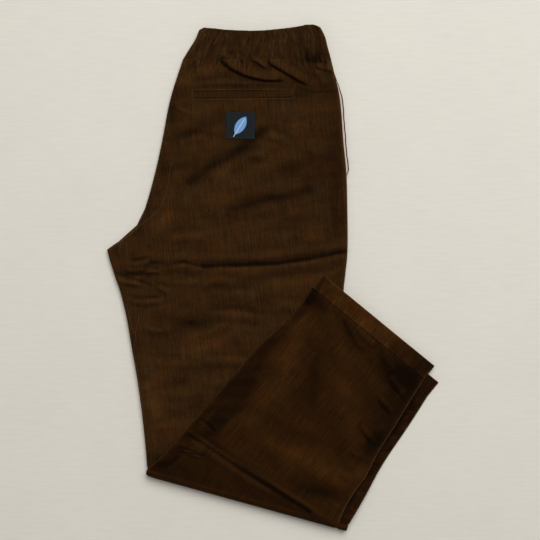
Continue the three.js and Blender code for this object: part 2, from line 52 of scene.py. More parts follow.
# Cloth and the layers of the folded stack, as in the solids
stack = {
    "cloth": 1.8,
    "top": 9.8,  # back, front, front and back on each other
    "middle": 4.9,
    "foldAxis": 9.7,  # height of the middle of the knee fold
    "bed": 10.3,  # underside of the lower legs over the thigh
    "slope": 70,  # width over which the lower legs sink from the thigh to the floor
    "slopeStart": 2,
    "legRim": 6.5,  # where the back and the front of the upper leg meet
    "waistTop": 367.6,
    "waistSeam": 52,
    "crotchDown": 327.7,
    "kneeDown": 643,  # last row above the knee fold, at the inside leg
    "kneeInset": 11,  # the left side seam lies this far inside the right one at the knee
    "insetFrom": 380,  # down the side seam, where the left leg starts to narrow
    "insetRun": 340,
    "crown": 1.2,
    "crownEnd": 300,
    "waistRise": 3,
    "seamDrop": 0.9,
    "hemDepth": 25,
    "waleLean": 6.6,  # degrees that the wales lean from the y axis
}
# Painted shade from the cloth's form: slopes that face the key light and ridges are painted lighter, the
# other slopes and hollows darker
paintedShading = {
    "towards": (0.42, 0.91, 0),  # side that the key light comes from; slopes that face it are painted lighter
    "slope": 0.75,
    "slopeRange": (-0.45, 0.3),
    "ridge": 1.1,
    "ridgeRange": (-0.35, 0.25),
    "marks": 1.7,  # strength of the tables of nap and painted shade
}
kneeLeft = np.array([-181.5, -278.8])
kneeRight = np.array([96, -355.5])

seatCurve = [  # down, x
    (52, -130), (76, -138.1), (99, -145.4), (122.5, -151.2), (169, -159.9), (215, -170),
    (262, -183), (285, -191.8), (296.5, -200.5), (308, -212.1), (320, -229.5), (327.7, -240.3),
]
inseam = [
    (327.7, -240.3), (343, -236), (366, -228.7), (389, -220.8), (424, -212.1), (470.5, -204.1),
    (517, -196), (563, -189.6), (610, -184.5), (646.4, -181.5),
]
sideSeam = [
    (52, 85.6), (72, 90.5), (99, 96.8), (122.5, 100), (169, 103.4), (215, 107.7), (262, 109.1),
    (330, 109.4), (366, 106), (389, 103.5), (450, 103.5), (600, 105), (735, 107),
]
flapInseam = [  # x, y from the knee fold to the hem seam
    (-181.5, -278.8), (-161.3, -261), (-126.5, -223.3), (-87.4, -178.4), (-17.8, -98.6),
    (15.6, -68.2), (43.1, -37.7), (57.1, -15.6),
]
flapSide = [
    (96, -355.5), (104, -336), (121.4, -307.4), (134.5, -290), (153.3, -255.2), (178, -217.5),
    (199.7, -181.3), (220.2, -148.7),
]
lowerInseam = [(-168, -282.5), (-112, -222), (-55, -155), (5, -90), (60, -37.2)]
lowerSide = [(110.5, -359.5), (133.5, -321), (159.1, -275.5), (199.7, -215.3), (226.6, -173.1)]

# The patch's left and top edges tie these tables to the frame
patchPlace = {"left": -67.1, "right": -25, "top": 239.3, "bottom": 199.4}
patchLow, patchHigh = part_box("pocket_patch")
frameShift = np.array([
    patchLow.x * 1000 - patchPlace["left"], patchHigh.y * 1000 - patchPlace["top"], 0,
])
patchMiddle = (
    (patchPlace["left"] + patchPlace["right"]) / 2, (patchPlace["top"] + patchPlace["bottom"]) / 2,
)


def smooth(t):
    t = np.clip(t, 0, 1)
    return t * t * (3 - 2 * t)


def mix(a, b, t):
    return a + (b - a) * t


def fade(distance, reach):  # 1 at an edge or a line, falling away from it
    return np.exp(-(distance / reach) ** 2)


def turned(x, y, degrees):  # places as seen along axes that are turned
    c, s = math.cos(math.radians(degrees)), math.sin(math.radians(degrees))
    return x * c + y * s, y * c - x * s


def along(rows, place, column=1):  # smooth curve through a table, from its first column
    keys = np.array([row[0] for row in rows], float)
    values = np.array([row[column] for row in rows], float)
    place = np.clip(place, keys[0], keys[-1])
    slopes = np.gradient(values, keys, edge_order=1)
    slopes[1:-1] = (values[2:] - values[:-2]) / (keys[2:] - keys[:-2])
    i = np.clip(np.searchsorted(keys, place, side="right") - 1, 0, len(keys) - 2)
    span = keys[i + 1] - keys[i]
    t = (place - keys[i]) / span
    rest = 1 - t
    start = (1 + 2 * t) * rest * rest * values[i] + t * rest * rest * span * slopes[i]
    return start + t * t * (3 - 2 * t) * values[i + 1] - t * t * rest * span * slopes[i + 1]


def lineRun(line):  # a line's points, and the distance run at each
    points = np.array(line, float)
    return points, np.concatenate([[0], np.cumsum(np.hypot(*np.diff(points, axis=0).T))])


def edgeAt(line, share):  # places on a smooth line through points, by share of its length
    points, run = lineRun(line)
    rows = [(r, x, y) for r, (x, y) in zip(run, points)]
    place = np.asarray(share) * run[-1]
    return np.stack([along(rows, place, 1), along(rows, place, 2)], -1)


def creaseShape(creases, x, y):
    # Height and sideways lean from a table of creases. Each runs from its start past its middle to its
    # end and falls away over reach, or over a share of it (steep) on the right of its run, and leans
    # there. Steep is 1 and lean is 0 where a row doesn't give them.
    height, leanX, leanY = np.zeros_like(x), np.zeros_like(x), np.zeros_like(x)
    pieces = 14
    for x0, y0, x1, y1, x2, y2, rise, reach, *rightSide in creases:
        steep, lean = rightSide or (1, 0)
        near = (x > min(x0, x1, x2) - reach) & (x < max(x0, x1, x2) + reach)
        near &= (y > min(y0, y1, y2) - reach) & (y < max(y0, y1, y2) + reach)
        if not near.any():
            continue
        px, py = x[near], y[near]
        t = np.linspace(0, 1, pieces + 1)
        lineX = (1 - t) ** 2 * x0 + 2 * t * (1 - t) * x1 + t * t * x2
        lineY = (1 - t) ** 2 * y0 + 2 * t * (1 - t) * y1 + t * t * y2
        best = np.full(px.shape, 1e9)
        share, side = np.zeros_like(px), np.ones_like(px)
        outX, outY = np.zeros_like(px), np.zeros_like(px)
        for i in range(pieces):
            runX, runY = lineX[i + 1] - lineX[i], lineY[i + 1] - lineY[i]
            length = math.hypot(runX, runY)
            on = np.clip(((px - lineX[i]) * runX + (py - lineY[i]) * runY) / length ** 2, 0, 1)
            dx, dy = px - lineX[i] - on * runX, py - lineY[i] - on * runY
            distance = np.hypot(dx, dy)
            closer = distance < best
            best = np.where(closer, distance, best)
            share = np.where(closer, (i + on) / pieces, share)
            side = np.where(closer, np.sign(runX * dy - runY * dx), side)
            outX, outY = np.where(closer, runY / length, outX), np.where(closer, -runX / length, outY)
        fall = best / (reach * np.where(side < 0, steep, 1))
        ends = smooth(share / 0.25 + 0.2) * smooth((1 - share) / 0.25 + 0.2)
        bell = np.where(fall < 1, (1 - np.minimum(fall, 1) ** 2) ** 2, 0) * ends
        height[near] += rise * bell
        leanX[near] += lean * bell * outX
        leanY[near] += lean * bell * outY
    return height, leanX, leanY


def softMarks(marks, x, y):  # soft ovals: x, y, half length, half width, turn in degrees, strength
    total = np.zeros_like(x)
    for middleX, middleY, long, wide, turn, strength in marks:
        u, v = turned(x - middleX, y - middleY, turn)
        total += strength * np.exp(-(u / long) ** 2 - (v / wide) ** 2)
    return total


def lineMarks(lines, x, y):  # thin lines: half width, strength, then the points they run through
    total = np.zeros_like(x)
    for width, strength, *line in lines:
        points, run = lineRun(line)
        best, place = np.full_like(x, 1e9), np.zeros_like(x)
        for i, step in enumerate(np.diff(run)):
            dx, dy = points[i + 1] - points[i]
            on = np.clip(((x - points[i, 0]) * dx + (y - points[i, 1]) * dy) / step ** 2, 0, 1)
            distance = np.hypot(x - points[i, 0] - on * dx, y - points[i, 1] - on * dy)
            place = np.where(distance < best, run[i] + on * step, place)
            best = np.minimum(best, distance)
        ends = smooth(place / 12 + 0.2) * smooth((run[-1] - place) / 12 + 0.2)
        total += strength * ends * fade(best, width)
    return total


def thighLeft(down):
    return np.where(down < stack["crotchDown"], along(seatCurve, down), along(inseam, down))


def thighRight(down):
    return along(sideSeam, down)


def rowsDown(look):  # places of a thigh's rows: first ones, stretches (from, to, step), last one
    stretches = [np.arange(*stretch) for stretch in look["rowSteps"]]
    return np.concatenate([look["firstRows"], *stretches, [stack["kneeDown"]]])


def inseamRim(down):  # rim of a back: on both fronts by the seat, on its own front by the inside leg
    return mix(stack["middle"] + 0.15, stack["legRim"], smooth((down - stack["crotchDown"] + 4) / 22))


def thighRows(down, sideInset):  # ends of rows that start level and end parallel with the knee fold
    leftLength = stack["waistTop"] - kneeLeft[1] - stack["waistSeam"]
    rightLength = stack["waistTop"] - kneeRight[1] - stack["waistSeam"]
    far = stack["waistSeam"] + (down - stack["waistSeam"]) * rightLength / leftLength
    right = thighRight(far) - sideInset * smooth((far - stack["insetFrom"]) / stack["insetRun"])
    left = np.stack([thighLeft(down), stack["waistTop"] - down], -1)
    return left, np.stack([right, stack["waistTop"] - far], -1)


def bodyLift(x, y):  # crown of the stack, and its rise towards the waistband
    down = stack["waistTop"] - y
    across = (x - thighLeft(down)) / (thighRight(down) - thighLeft(down))
    below = down - stack["waistSeam"]
    crown = stack["crown"] * np.sin(math.pi * np.clip(across, 0, 1))
    crown = crown * smooth(below / 30) * (1 - smooth((down - stack["crownEnd"]) / 60))
    rise = stack["waistRise"] * (1 - smooth(below / 60)) - stack["seamDrop"] * smooth(-below - 0.2)
    return crown + rise


def bed(x, y):  # what the lower legs lie on: the thigh, then a slope down to the floor
    beyond = x - thighRight(stack["waistTop"] - y) - stack["slopeStart"]
    return stack["bed"] * (1 - smooth(beyond / stack["slope"]))


# Way along the knee fold, and way across it, towards the waist
foldRun = (kneeRight - kneeLeft) / np.hypot(*(kneeRight - kneeLeft))
foldUp = np.array([-foldRun[1], foldRun[0]])


def patternPlace(x, y, arc, folded):  # place in the cloth before it was folded, in metres
    off = (x - kneeLeft[0]) * foldUp[0] + (y - kneeLeft[1]) * foldUp[1]
    back = np.where(folded, 2 * off, 0) + arc
    flat = turned(x - foldUp[0] * back, y - foldUp[1] * back, stack["waleLean"])
    return np.stack(flat, -1) / 1000


def turnedOut(angle):  # way out of the layers round the knee fold
    return np.stack([-foldUp[0] * np.sin(angle), -foldUp[1] * np.sin(angle), -np.cos(angle)], -1)


def levelTop(height):  # a smooth outer face at one height, or at one for each row
    return lambda x, y, fromLeft: (height + 0 * x, 0 * x, 0 * x)


def levelBase(height):  # what rows stand on, at one height
    return lambda x, y: height + 0 * x


def overThigh(x, y):  # the middle of the knee fold, carried on along the lower legs
    return bed(x, y) + stack["foldAxis"] - stack["bed"]


def layPanel(look, angle, ends, rims, base, top):
    # Points of a panel. Each row runs from its left to its right end and stands a height above its
    # base, turned by its angle round the knee fold, with both edges curled to their rims.
    columns, curl = look["columns"], look["curl"]
    left, right = (np.broadcast_to(end, (len(angle), 2)) for end in ends)
    rimLeft, rimRight = (np.broadcast_to(rim, len(angle))[:, None] for rim in rims)
    width = np.hypot(*(right - left).T)[:, None]
    bend = np.linspace(0, math.pi / 2, look["edgeSteps"])
    inset = np.ones_like(width) * curl * (1 - np.cos(bend))
    inner = np.linspace(0, 1, columns + 1)[1:-1]
    distance = np.hstack([inset, curl + (width - 2 * curl) * inner, width - inset[:, ::-1]])
    rise = np.concatenate([np.sin(bend), np.ones(columns - 1), np.sin(bend)[::-1]])
    across = distance / width
    x = left[:, :1] + (right - left)[:, :1] * across
    y = left[:, 1:] + (right - left)[:, 1:] * across
    height, leanX, leanY = top(x, y, distance)
    height = mix(np.where(across < 0.5, rimLeft, rimRight), height, rise)
    points = np.stack([x + leanX * rise, y + leanY * rise, base(x, y)], -1)
    return {
        "points": points + turnedOut(angle)[:, None, :] * height[..., None],
        "x": x, "y": y, "fromLeft": distance, "fromRight": width - distance,
        "turned": angle[:, None] + 0 * x,
    }


def layLeg(look, share, thigh, fold, lower):
    # A panel under the thigh, round the knee fold and back over the thigh, as one grid. Each part has
    # the ends and rims of its rows, a base and an outer face.
    under, over = np.zeros(len(thigh["ends"][0])), np.full(len(lower["ends"][0]), math.pi)
    angles = (under, math.pi * share, over)
    parts = [layPanel(look, angle, **part) for angle, part in zip(angles, (thigh, fold, lower))]
    for part, isLower in zip(parts, (0.0, 0.0, 1.0)):
        part["lower"] = isLower + 0 * part["x"]
    return {key: np.concatenate([part[key] for part in parts]) for key in parts[0]}


def paintedShadeOfForm(points, facing):
    # Painted shade: slopes that face up the leg, towards the key light, and ridges are painted lighter,
    # and the other sides and hollows darker
    alongRow, downRow = np.gradient(points, axis=1), np.gradient(points, axis=0)
    normal = np.cross(alongRow, downRow)
    normal /= np.maximum(np.linalg.norm(normal, axis=-1, keepdims=True), 1e-9)
    if normal[0, points.shape[1] // 2, 2] * facing < 0:
        normal = -normal
    lean = normal @ np.array(paintedShading["towards"])
    bend = 0
    for step, axis in ((alongRow, 1), (downRow, 0)):
        change = np.gradient(normal, axis=axis)
        bend = bend + (change * step).sum(-1) / np.maximum((step * step).sum(-1), 1e-6)
    light = np.clip(paintedShading["slope"] * lean, *paintedShading["slopeRange"])
    return light + np.clip(paintedShading["ridge"] * bend, *paintedShading["ridgeRange"])


def gridMesh(points, pattern, marks):
    # A grid laid on points, with its pattern as a UV map and its marks as attributes
    rows, columns = points.shape[:2]
    bm = bmesh.new()
    uv = bm.loops.layers.uv.new("Pattern")
    bmesh.ops.create_grid(bm, x_segments=columns - 1, y_segments=rows - 1, size=1)
    bm.verts.ensure_lookup_table()
    layers = {key: bm.verts.layers.float.new(key) for key in marks}
    places = ((points + frameShift) / 1000).reshape(-1, 3)
    for vert, place in zip(bm.verts, places):
        vert.co = place
    for key, layer in layers.items():
        for vert, value in zip(bm.verts, marks[key].ravel()):
            vert[layer] = value
    flatPattern = pattern.reshape(-1, 2)
    for face in bm.faces:
        face.smooth = True
        for loop in face.loops:
            loop[uv].uv = flatPattern[loop.vert.index]
    return bm


def finishMesh(name, bm):
    mesh = bpy.data.meshes.new(name)
    bm.to_mesh(mesh)
    bm.free()
    piece = bpy.data.objects.new(name, mesh)
    bpy.context.scene.collection.objects.link(piece)
    return piece


def makeSheet(name, points, pattern, marks, facing, thickness):
    # One layer of cloth that faces up (1) or down (-1), with its thickness on the inside
    # painted shade and highlights of its slopes and ridges go into its marks
    marks["napAndPaintedShade"] = marks["napAndPaintedShade"] + paintedShadeOfForm(points, facing)
    bm = gridMesh(points, pattern, marks)
    bm.normal_update()
    bm.faces.ensure_lookup_table()
    if bm.faces[(points.shape[1] - 1) // 2].normal.z * facing < 0:
        bmesh.ops.reverse_faces(bm, faces=bm.faces)
    piece = finishMesh(name, bm)
    wall = piece.modifiers.new("thickness", "SOLIDIFY")
    wall.thickness = thickness / 1000
    wall.offset = -1
    return piece


def makeLeg(name, lay, radius, marks, facing):  # sheet of a whole leg, its pattern unrolled at the fold
    pattern = patternPlace(lay["x"], lay["y"], lay["turned"] * radius, lay["lower"] > 0)
    return makeSheet(name, lay["points"], pattern, marks, facing, stack["cloth"])


def makeRing(name, points, pattern, marks, form=1.0):
    # Closed wall round a flattened tube: the grid is wrapped both ways and its seams are merged.
    # form is how strongly the painted shade of its slopes and ridges is added.
    marks["napAndPaintedShade"] = marks["napAndPaintedShade"] + form * paintedShadeOfForm(points, 1)
    seams = ((0, 1), (0, 1))
    wrapped = {key: np.pad(values, seams, mode="wrap") for key, values in marks.items()}
    points = np.pad(points, (*seams, (0, 0)), mode="wrap")
    bm = gridMesh(points, np.pad(pattern, (*seams, (0, 0)), mode="edge"), wrapped)
    bmesh.ops.remove_doubles(bm, verts=bm.verts, dist=1e-7)
    bmesh.ops.recalc_face_normals(bm, faces=bm.faces)
    return finishMesh(name, bm)


def settle(piece, material, slotName, *nodes):  # its material, body and the solids that it replaces; its slot name is not used
    piece.data.materials.append(material)
    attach(piece, "root")
    if nodes:
        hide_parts(*nodes)


class Wire:  # a socket of a material's nodes, for maths written as expressions
    def __init__(self, tree, socket=None):
        self.tree = tree
        self.socket = socket

    def node(self, kind, settings, sockets, output=0):
        made = self.tree.nodes.new(kind)
        for name, value in settings.items():
            setattr(made, name, value)
        for name, value in sockets.items():
            if isinstance(value, Wire):
                self.tree.links.new(value.socket, made.inputs[name])
            else:
                made.inputs[name].default_value = value
        return Wire(self.tree, made.outputs[output])

    def output(self, name):  # another output of the same node
        return Wire(self.tree, self.socket.node.outputs[name])

    def maths(self, operation, a, b=0.0):
        return self.node("ShaderNodeMath", {"operation": operation}, {0: a, 1: b})

    def __add__(self, other):
        return self.maths("ADD", self, other)

    def __radd__(self, other):
        return self.maths("ADD", other, self)

    def __sub__(self, other):
        return self.maths("SUBTRACT", self, other)

    def __rsub__(self, other):
        return self.maths("SUBTRACT", other, self)

    def __mul__(self, other):
        return self.maths("MULTIPLY", self, other)

    def __rmul__(self, other):
        return self.maths("MULTIPLY", other, self)

    def __pow__(self, other):
        return self.maths("POWER", self, other)


def startMaterial(name, settings):  # a new material with what is the same all over it
    material = bpy.data.materials.new(name)
    material.use_nodes = True
    shader = material.node_tree.nodes["Principled BSDF"]
    for socket, value in settings.items():
        shader.inputs[socket].default_value = value
    return material, shader, Wire(material.node_tree)


def feed(wire, shader, colour, roughness=None, bump=None):
    # What changes over the surface; bump is its strength, its depth in millimetres and its height
    links = {"Base Color": colour, "Roughness": roughness}
    if bump:
        sockets = {"Strength": bump[0], "Distance": bump[1] / 1000, "Height": bump[2]}
        links["Normal"] = wire.node("ShaderNodeBump", {}, sockets)
    for socket, value in links.items():
        if value:
            wire.tree.links.new(value.socket, shader.inputs[socket])


def clothPlace(wire):
    return wire.node("ShaderNodeUVMap", {"uv_map": "Pattern"}, {})


def objectPlace(wire):
    return wire.node("ShaderNodeTexCoord", {}, {}, "Object")


def mixColours(wire, factor, a, b, blend="MIX"):
    return wire.node(
        "ShaderNodeMix", {"data_type": "RGBA", "blend_type": blend}, {0: factor, 6: a, 7: b}, 2)


def noise(wire, vector, scale, detail=2.0, roughness=0.5):
    sockets = {"Vector": vector, "Scale": scale, "Detail": detail, "Roughness": roughness}
    return wire.node("ShaderNodeTexNoise", {}, sockets)


def spread(wire, value, low, high, toLow, toHigh):  # a value's range moved to another, with soft ends
    sockets = {"Value": value, "From Min": low, "From Max": high, "To Min": toLow, "To Max": toHigh}
    return wire.node("ShaderNodeMapRange", {"interpolation_type": "SMOOTHSTEP"}, sockets)


corduroyLook = {
    "wale": 2.3,  # distance between wales
    "waleDepth": 0.35,
    "waver": 0.0012,  # how far the wales drift sideways, in metres
    "ridge": (0.0385, 0.0162, 0.0043, 1),
    "groove": (0.0265, 0.0106, 0.0025, 1),
    # paler colour of wear and of painted sheen along rims and fold edges
    "wornAndSheen": (0.24, 0.15, 0.085, 1),
    # floors of the nap and painted shade, and of the noise
    "darkestNapAndShade": 0.2,
    "darkestCloud": 0.3,
    # noise that is drawn out along the cloth: scale across, scale lengthwise, detail, roughness
    "fibre": (620.0, 210.0, 3.0, 0.6),
    "streak": (380.0, 26.0, 2.0, 0.5),
    "cloud": (19.0, 48.0, 4.0, 0.55),
    # round noise: scale, detail
    "drift": (55.0, 2.0),
    "blot": (62.0, 3.0),
    "hue": (31.0, 3.0),
    "moss": (43.0, 3.0),
    # how far each noise goes
    "streakLight": 1.1,
    "blotLight": 0.3,
    "fibreLight": 0.9,
    "redTurn": 0.5,
    "greenTurn": 0.45,
    "blueTurn": 0.8,
    "roughness": 0.9,
    "shader": {
        "Sheen Weight": 0.2, "Sheen Roughness": 0.4, "Sheen Tint": (0.70, 0.36, 0.13, 1),
        "Specular IOR Level": 0.04,
    },
}


def corduroyMaterial(name, tone=1.0, warmth=1.0, clouding=1.3):
    # tone darkens the cloth, warmth takes green and blue out of it, clouding makes it uneven
    look = corduroyLook
    material, shader, wire = startMaterial(name, look["shader"])
    uv = clothPlace(wire)
    across = wire.node("ShaderNodeSeparateXYZ", {}, {"Vector": uv})
    lengthwise = across.output("Y")

    def drawn(key):
        scaleAcross, scaleLong, detail, roughness = look[key]
        sockets = {"X": across * scaleAcross, "Y": lengthwise * scaleLong}
        return noise(wire, wire.node("ShaderNodeCombineXYZ", {}, sockets), 1.0, detail, roughness) - 0.5

    def cloudy(key):
        return noise(wire, uv, *look[key]) - 0.5

    turns = (across + cloudy("drift") * look["waver"]) * (2 * math.pi * 1000 / look["wale"])
    wave = wire.maths("SINE", turns) * 0.5 + 0.5
    fibre = drawn("fibre")
    hue, moss = cloudy("hue"), cloudy("moss")
    # this attribute holds nap patches, and painted shade and highlights of folds, creases, puckers and
    # gaps; it lightens and darkens the colour
    napAndPaintedShade = wire.node("ShaderNodeAttribute", {"attribute_name": "napAndPaintedShade"}, {}, "Fac")
    wearAndSheen = wire.node("ShaderNodeAttribute", {"attribute_name": "wearAndSheen"}, {}, "Fac")
    tufts = spread(wire, wave + fibre * 0.5, 0.1, 0.8, 0.0, 1.0)
    colour = mixColours(wire, tufts, look["groove"], look["ridge"])
    uneven = drawn("streak") * look["streakLight"] + drawn("cloud") * clouding
    uneven = uneven + cloudy("blot") * look["blotLight"] + fibre * look["fibreLight"] + 1.0
    light = wire.maths("MAXIMUM", napAndPaintedShade + 1.0, look["darkestNapAndShade"])
    light = light * wire.maths("MAXIMUM", uneven, look["darkestCloud"])
    shade = wire.node("ShaderNodeCombineColor", {}, {
        "Red": light * tone * (hue * look["redTurn"] + 1.0),
        "Green": light * (tone * (2 - warmth)) * (moss * look["greenTurn"] + 1.0),
        "Blue": light * (tone * (4 - 3 * warmth)) * (1.0 - hue * look["blueTurn"]),
    })
    colour = mixColours(wire, 1.0, colour, shade, "MULTIPLY")
    # wear and painted sheen along rims and fold edges mix a paler colour in
    rubbedAndSheen = wearAndSheen * spread(wire, fibre, -0.15, 0.15, 0.55, 1.0)
    colour = mixColours(wire, rubbedAndSheen, colour, look["wornAndSheen"])
    feed(wire, shader, colour, fibre * 0.2 + look["roughness"],
         (0.8, look["waleDepth"], wave * 0.8 + fibre * 0.45))
    return material


thighCloth = corduroyMaterial("corduroyThigh")
flapCloth = corduroyMaterial("corduroyLowerLeg", 0.73, 1.13, 0.9)
bandCloth = corduroyMaterial("corduroyBand", 0.82)
weltCloth = corduroyMaterial("corduroyWelt", 0.8)
print("corduroy ready")


# Right back, the panel on top
rightBack = {
    "columns": 168,
    "edgeSteps": 8,
    "curl": 6,  # width of its rounded edges
    "firstRows": (50.8, 51.3, 51.7, 52.1),  # down, tucked under the waistband's edge
    "rowSteps": ((52.8, 100, 1.5), (100, 300, 2.6), (300, 420, 2.0), (420, 643, 3.3)),
    "gathers": 96,  # ridges and hollows of the waistband, some of which run on into the panel
    "gatherHeight": 1.5,
    "gatherSeed": 11,
    "deepest": -1.1,  # no crease goes further down than this
    "lines": 1.25,  # strength of the painted shade and highlight lines along the creases
    "upperShade": 0.15,  # darker towards the waistband
    # wear and painted sheen along both rims
    "wearAndSheen": 0.16,
    "rimReach": 1.2,
    "spots": {  # painted shade and highlights of small wrinkles over the gathers
        "seed": 12, "count": 320, "across": (-135, 90), "up": (298, 366), "turns": 22,
    },
    "wrinkles": {
        "seed": 5, "count": 320, "across": (-235, 110), "up": (-350, 300), "long": (8, 28),
        "wide": (3, 6), "turn": 7, "height": 0.6,
    },
}
thighCreases = [
    # x0, y0, x1, y1, x2, y2, rise, reach, steep, lean
    # tucks and puckers below the waistband
    (-78, 323, -50, 286, 20, 287, 4.6, 14, 0.36, 3.2),
    (-5, 313, 20, 299, 52, 280, 4.2, 12, 0.36, 3.0),
    (-30, 317, -19, 311, -8, 303, 1.8, 6, 0.6, 1.0),
    (-46, 319, -40, 312, -34, 306, 0.9, 5),
    (-127, 286, -92, 300, -64, 298, 1.3, 11),
    (-124, 278, -50, 283, 30, 282, 1.2, 8, 0.7, 0),
    (-61, 285, -20, 282, 24, 286, -0.8, 5),
    (54, 320, 66, 316, 79, 321, -1.4, 6),
    (62, 307, 80, 300, 99, 299, 1.5, 8, 0.6, 0.8),
    (64, 300, 70, 290, 78, 276, 1.1, 7),
    (-138, 246, -131, 240, -116, 235, 1.0, 6, 0.7, 0),
    # soft wrinkles across the seat
    (-142, 199, -122, 210, -102, 212, -0.9, 8),
    (-140, 190, -118, 200, -96, 203, 1.2, 9),
    (-9, 213, 12, 213, 30, 199, -0.9, 8),
    (-10, 204, 8, 203, 24, 192, 1.1, 9),
    (-72, 164, -44, 184, -14, 189, -1.0, 9),
    (-70, 152, -40, 172, -10, 178, 1.3, 11),
    (-125, 122, -98, 134, -52, 188, 1.3, 16),
    (20, 165, 60, 150, 100, 158, 1.2, 16),
    (-74, 94, -22, 111, 8, 116, -1.0, 9),
    (-72, 82, -20, 99, 10, 104, 1.3, 11),
    (-156, 62, -128, 68, -100, 68, -1.0, 8),
    (-150, 52, -126, 57, -96, 58, 1.3, 9),
    (86, 104, 91, 80, 89, 54, -0.9, 8),
    # long crease across the top of the thigh
    (112, 31, 60, 18, 2, 12, 2.6, 16, 0.5, 0.4),
    (14, 13, -50, 7, -114, 10, 2.3, 16, 0.5, 0.4),
    (-102, 10, -128, 19, -186, 15, 1.9, 13, 0.5, 0.3),
    (-186, 31, -150, 25, -118, 30, 1.0, 9),
    (-130, 28, -60, 24, -10, 28, 1.5, 10, 0.6, 0),
    (-30, 26, 50, 35, 112, 48, 1.6, 11, 0.6, 0),
    # crumples at the crotch
    (-230, 5, -210, 1, -186, 4, -1.0, 4),
    (-226, 0, -205, -2, -172, -13, -1.0, 4),
    (-228, -4, -210, -9, -192, -9, 1.9, 8, 0.8, 0.4),
    (-214, 10, -200, 9, -184, 12, 1.5, 6, 0.7, 0.5),
    (-206, 23, -194, 24, -180, 29, -1.0, 4),
    (-206, 17, -190, 18, -176, 22, 1.4, 6, 0.8, 0.3),
    (-186, 6, -174, 9, -163, 7, 1.7, 5, 0.5, 1.0),
    (-170, -4, -140, -10, -104, -8, 1.3, 8, 0.9, 0.3),
    (-168, -14, -158, -18, -150, -24, 1.3, 7, 0.8, 0.4),
    (-209, -28, -188, -32, -160, -29, -1.0, 4),
    (-206, -36, -182, -38, -156, -34, 1.7, 8, 0.9, 0.4),
    (-180, -69, -168, -73, -150, -72, -0.9, 4),
    (-180, -76, -166, -80, -148, -78, 1.3, 7, 0.9, 0.3),
    # soft wrinkles down the thigh
    (-103, -16, -90, -2, -60, -5, 1.4, 7, 1.3, 0),
    (-90, -14, -70, -18, -25, -16, -0.7, 8),
    (-80, -26, -40, -30, 4, -26, 0.8, 12),
    (-90, -47, -52, -43, -26, -51, -1.0, 8),
    (-92, -58, -50, -56, -20, -62, 1.2, 10),
    (-178, -67, -136, -60, -106, -76, -1.0, 10),
    (-136, -102, -94, -80, -60, -73, 1.5, 11),
    (-100, -115, -60, -110, -30, -117, -1.0, 8),
    (-104, -126, -60, -122, -26, -128, 1.1, 9),
    (-172, -128, -150, -122, -120, -130, 1.2, 12),
    (-102, -148, -84, -145, -68, -149, -0.9, 8),
    (-178, -176, -150, -166, -124, -170, 1.0, 12),
    (-172, -212, -152, -206, -132, -214, -0.9, 10),
    (20, 60, 56, 52, 96, 60, 1.0, 12),
    (-6, -44, 24, -38, 60, -50, 1.0, 12),
]
thighLines = [
    # painted shade along creases and painted highlights on ridges: half width, strength, points
    (2.3, -0.62, (-77, 323), (-61, 306), (-40, 294), (-12, 286.5), (18, 286)),
    (2.0, -0.5, (-4, 312), (10, 304.5), (22, 297.5), (36, 289), (51, 280)),
    (1.8, -0.3, (-28, 316), (-19, 310), (-8, 302)),
    (3.2, -0.58, (-184, 21), (-149, 18), (-128, 22), (-108, 16), (-84, 15.5)),
    (4.0, -0.6, (-106, 15.5), (-50, 17), (4, 19.5), (55, 26.5), (113, 38.5)),
    (2.4, -0.3, (-60, 17), (4, 19.5), (60, 27)),
    (1.8, -0.4, (-205, 24), (-182, 28)),
    (1.7, -0.4, (-176, 12), (-161, 13)),
    (1.7, -0.2, (-224, 4), (-207, 2), (-189, 4), (-168, 3)),
    (1.8, -0.2, (-218, 1), (-199, -3), (-180, -11), (-166, -14)),
    (1.8, -0.38, (-207, -31), (-189, -31), (-174, -29), (-160, -30)),
    (1.7, -0.3, (-178, -71), (-153, -73)),
    (9.0, -0.55, (-6, 219), (-34, 196), (-60, 178), (-85, 162), (-127, 133)),
    (7.0, -0.16, (-136, 206), (-106, 212), (-76, 209)),
    (10.0, 0.12, (-58, 158), (-85, 143), (-130, 116), (-150, 90), (-172, 68)),
    (8.0, -0.5, (62, 130), (36, 121), (4, 114), (-40, 102), (-68, 91)),
    (3.0, -0.12, (-90, -13), (-60, -17), (-30, -16)),
    (3.0, -0.14, (-92, -47), (-52, -44), (-22, -50)),
    (2.2, -0.24, (34, 276), (60, 268), (92, 270)),
]
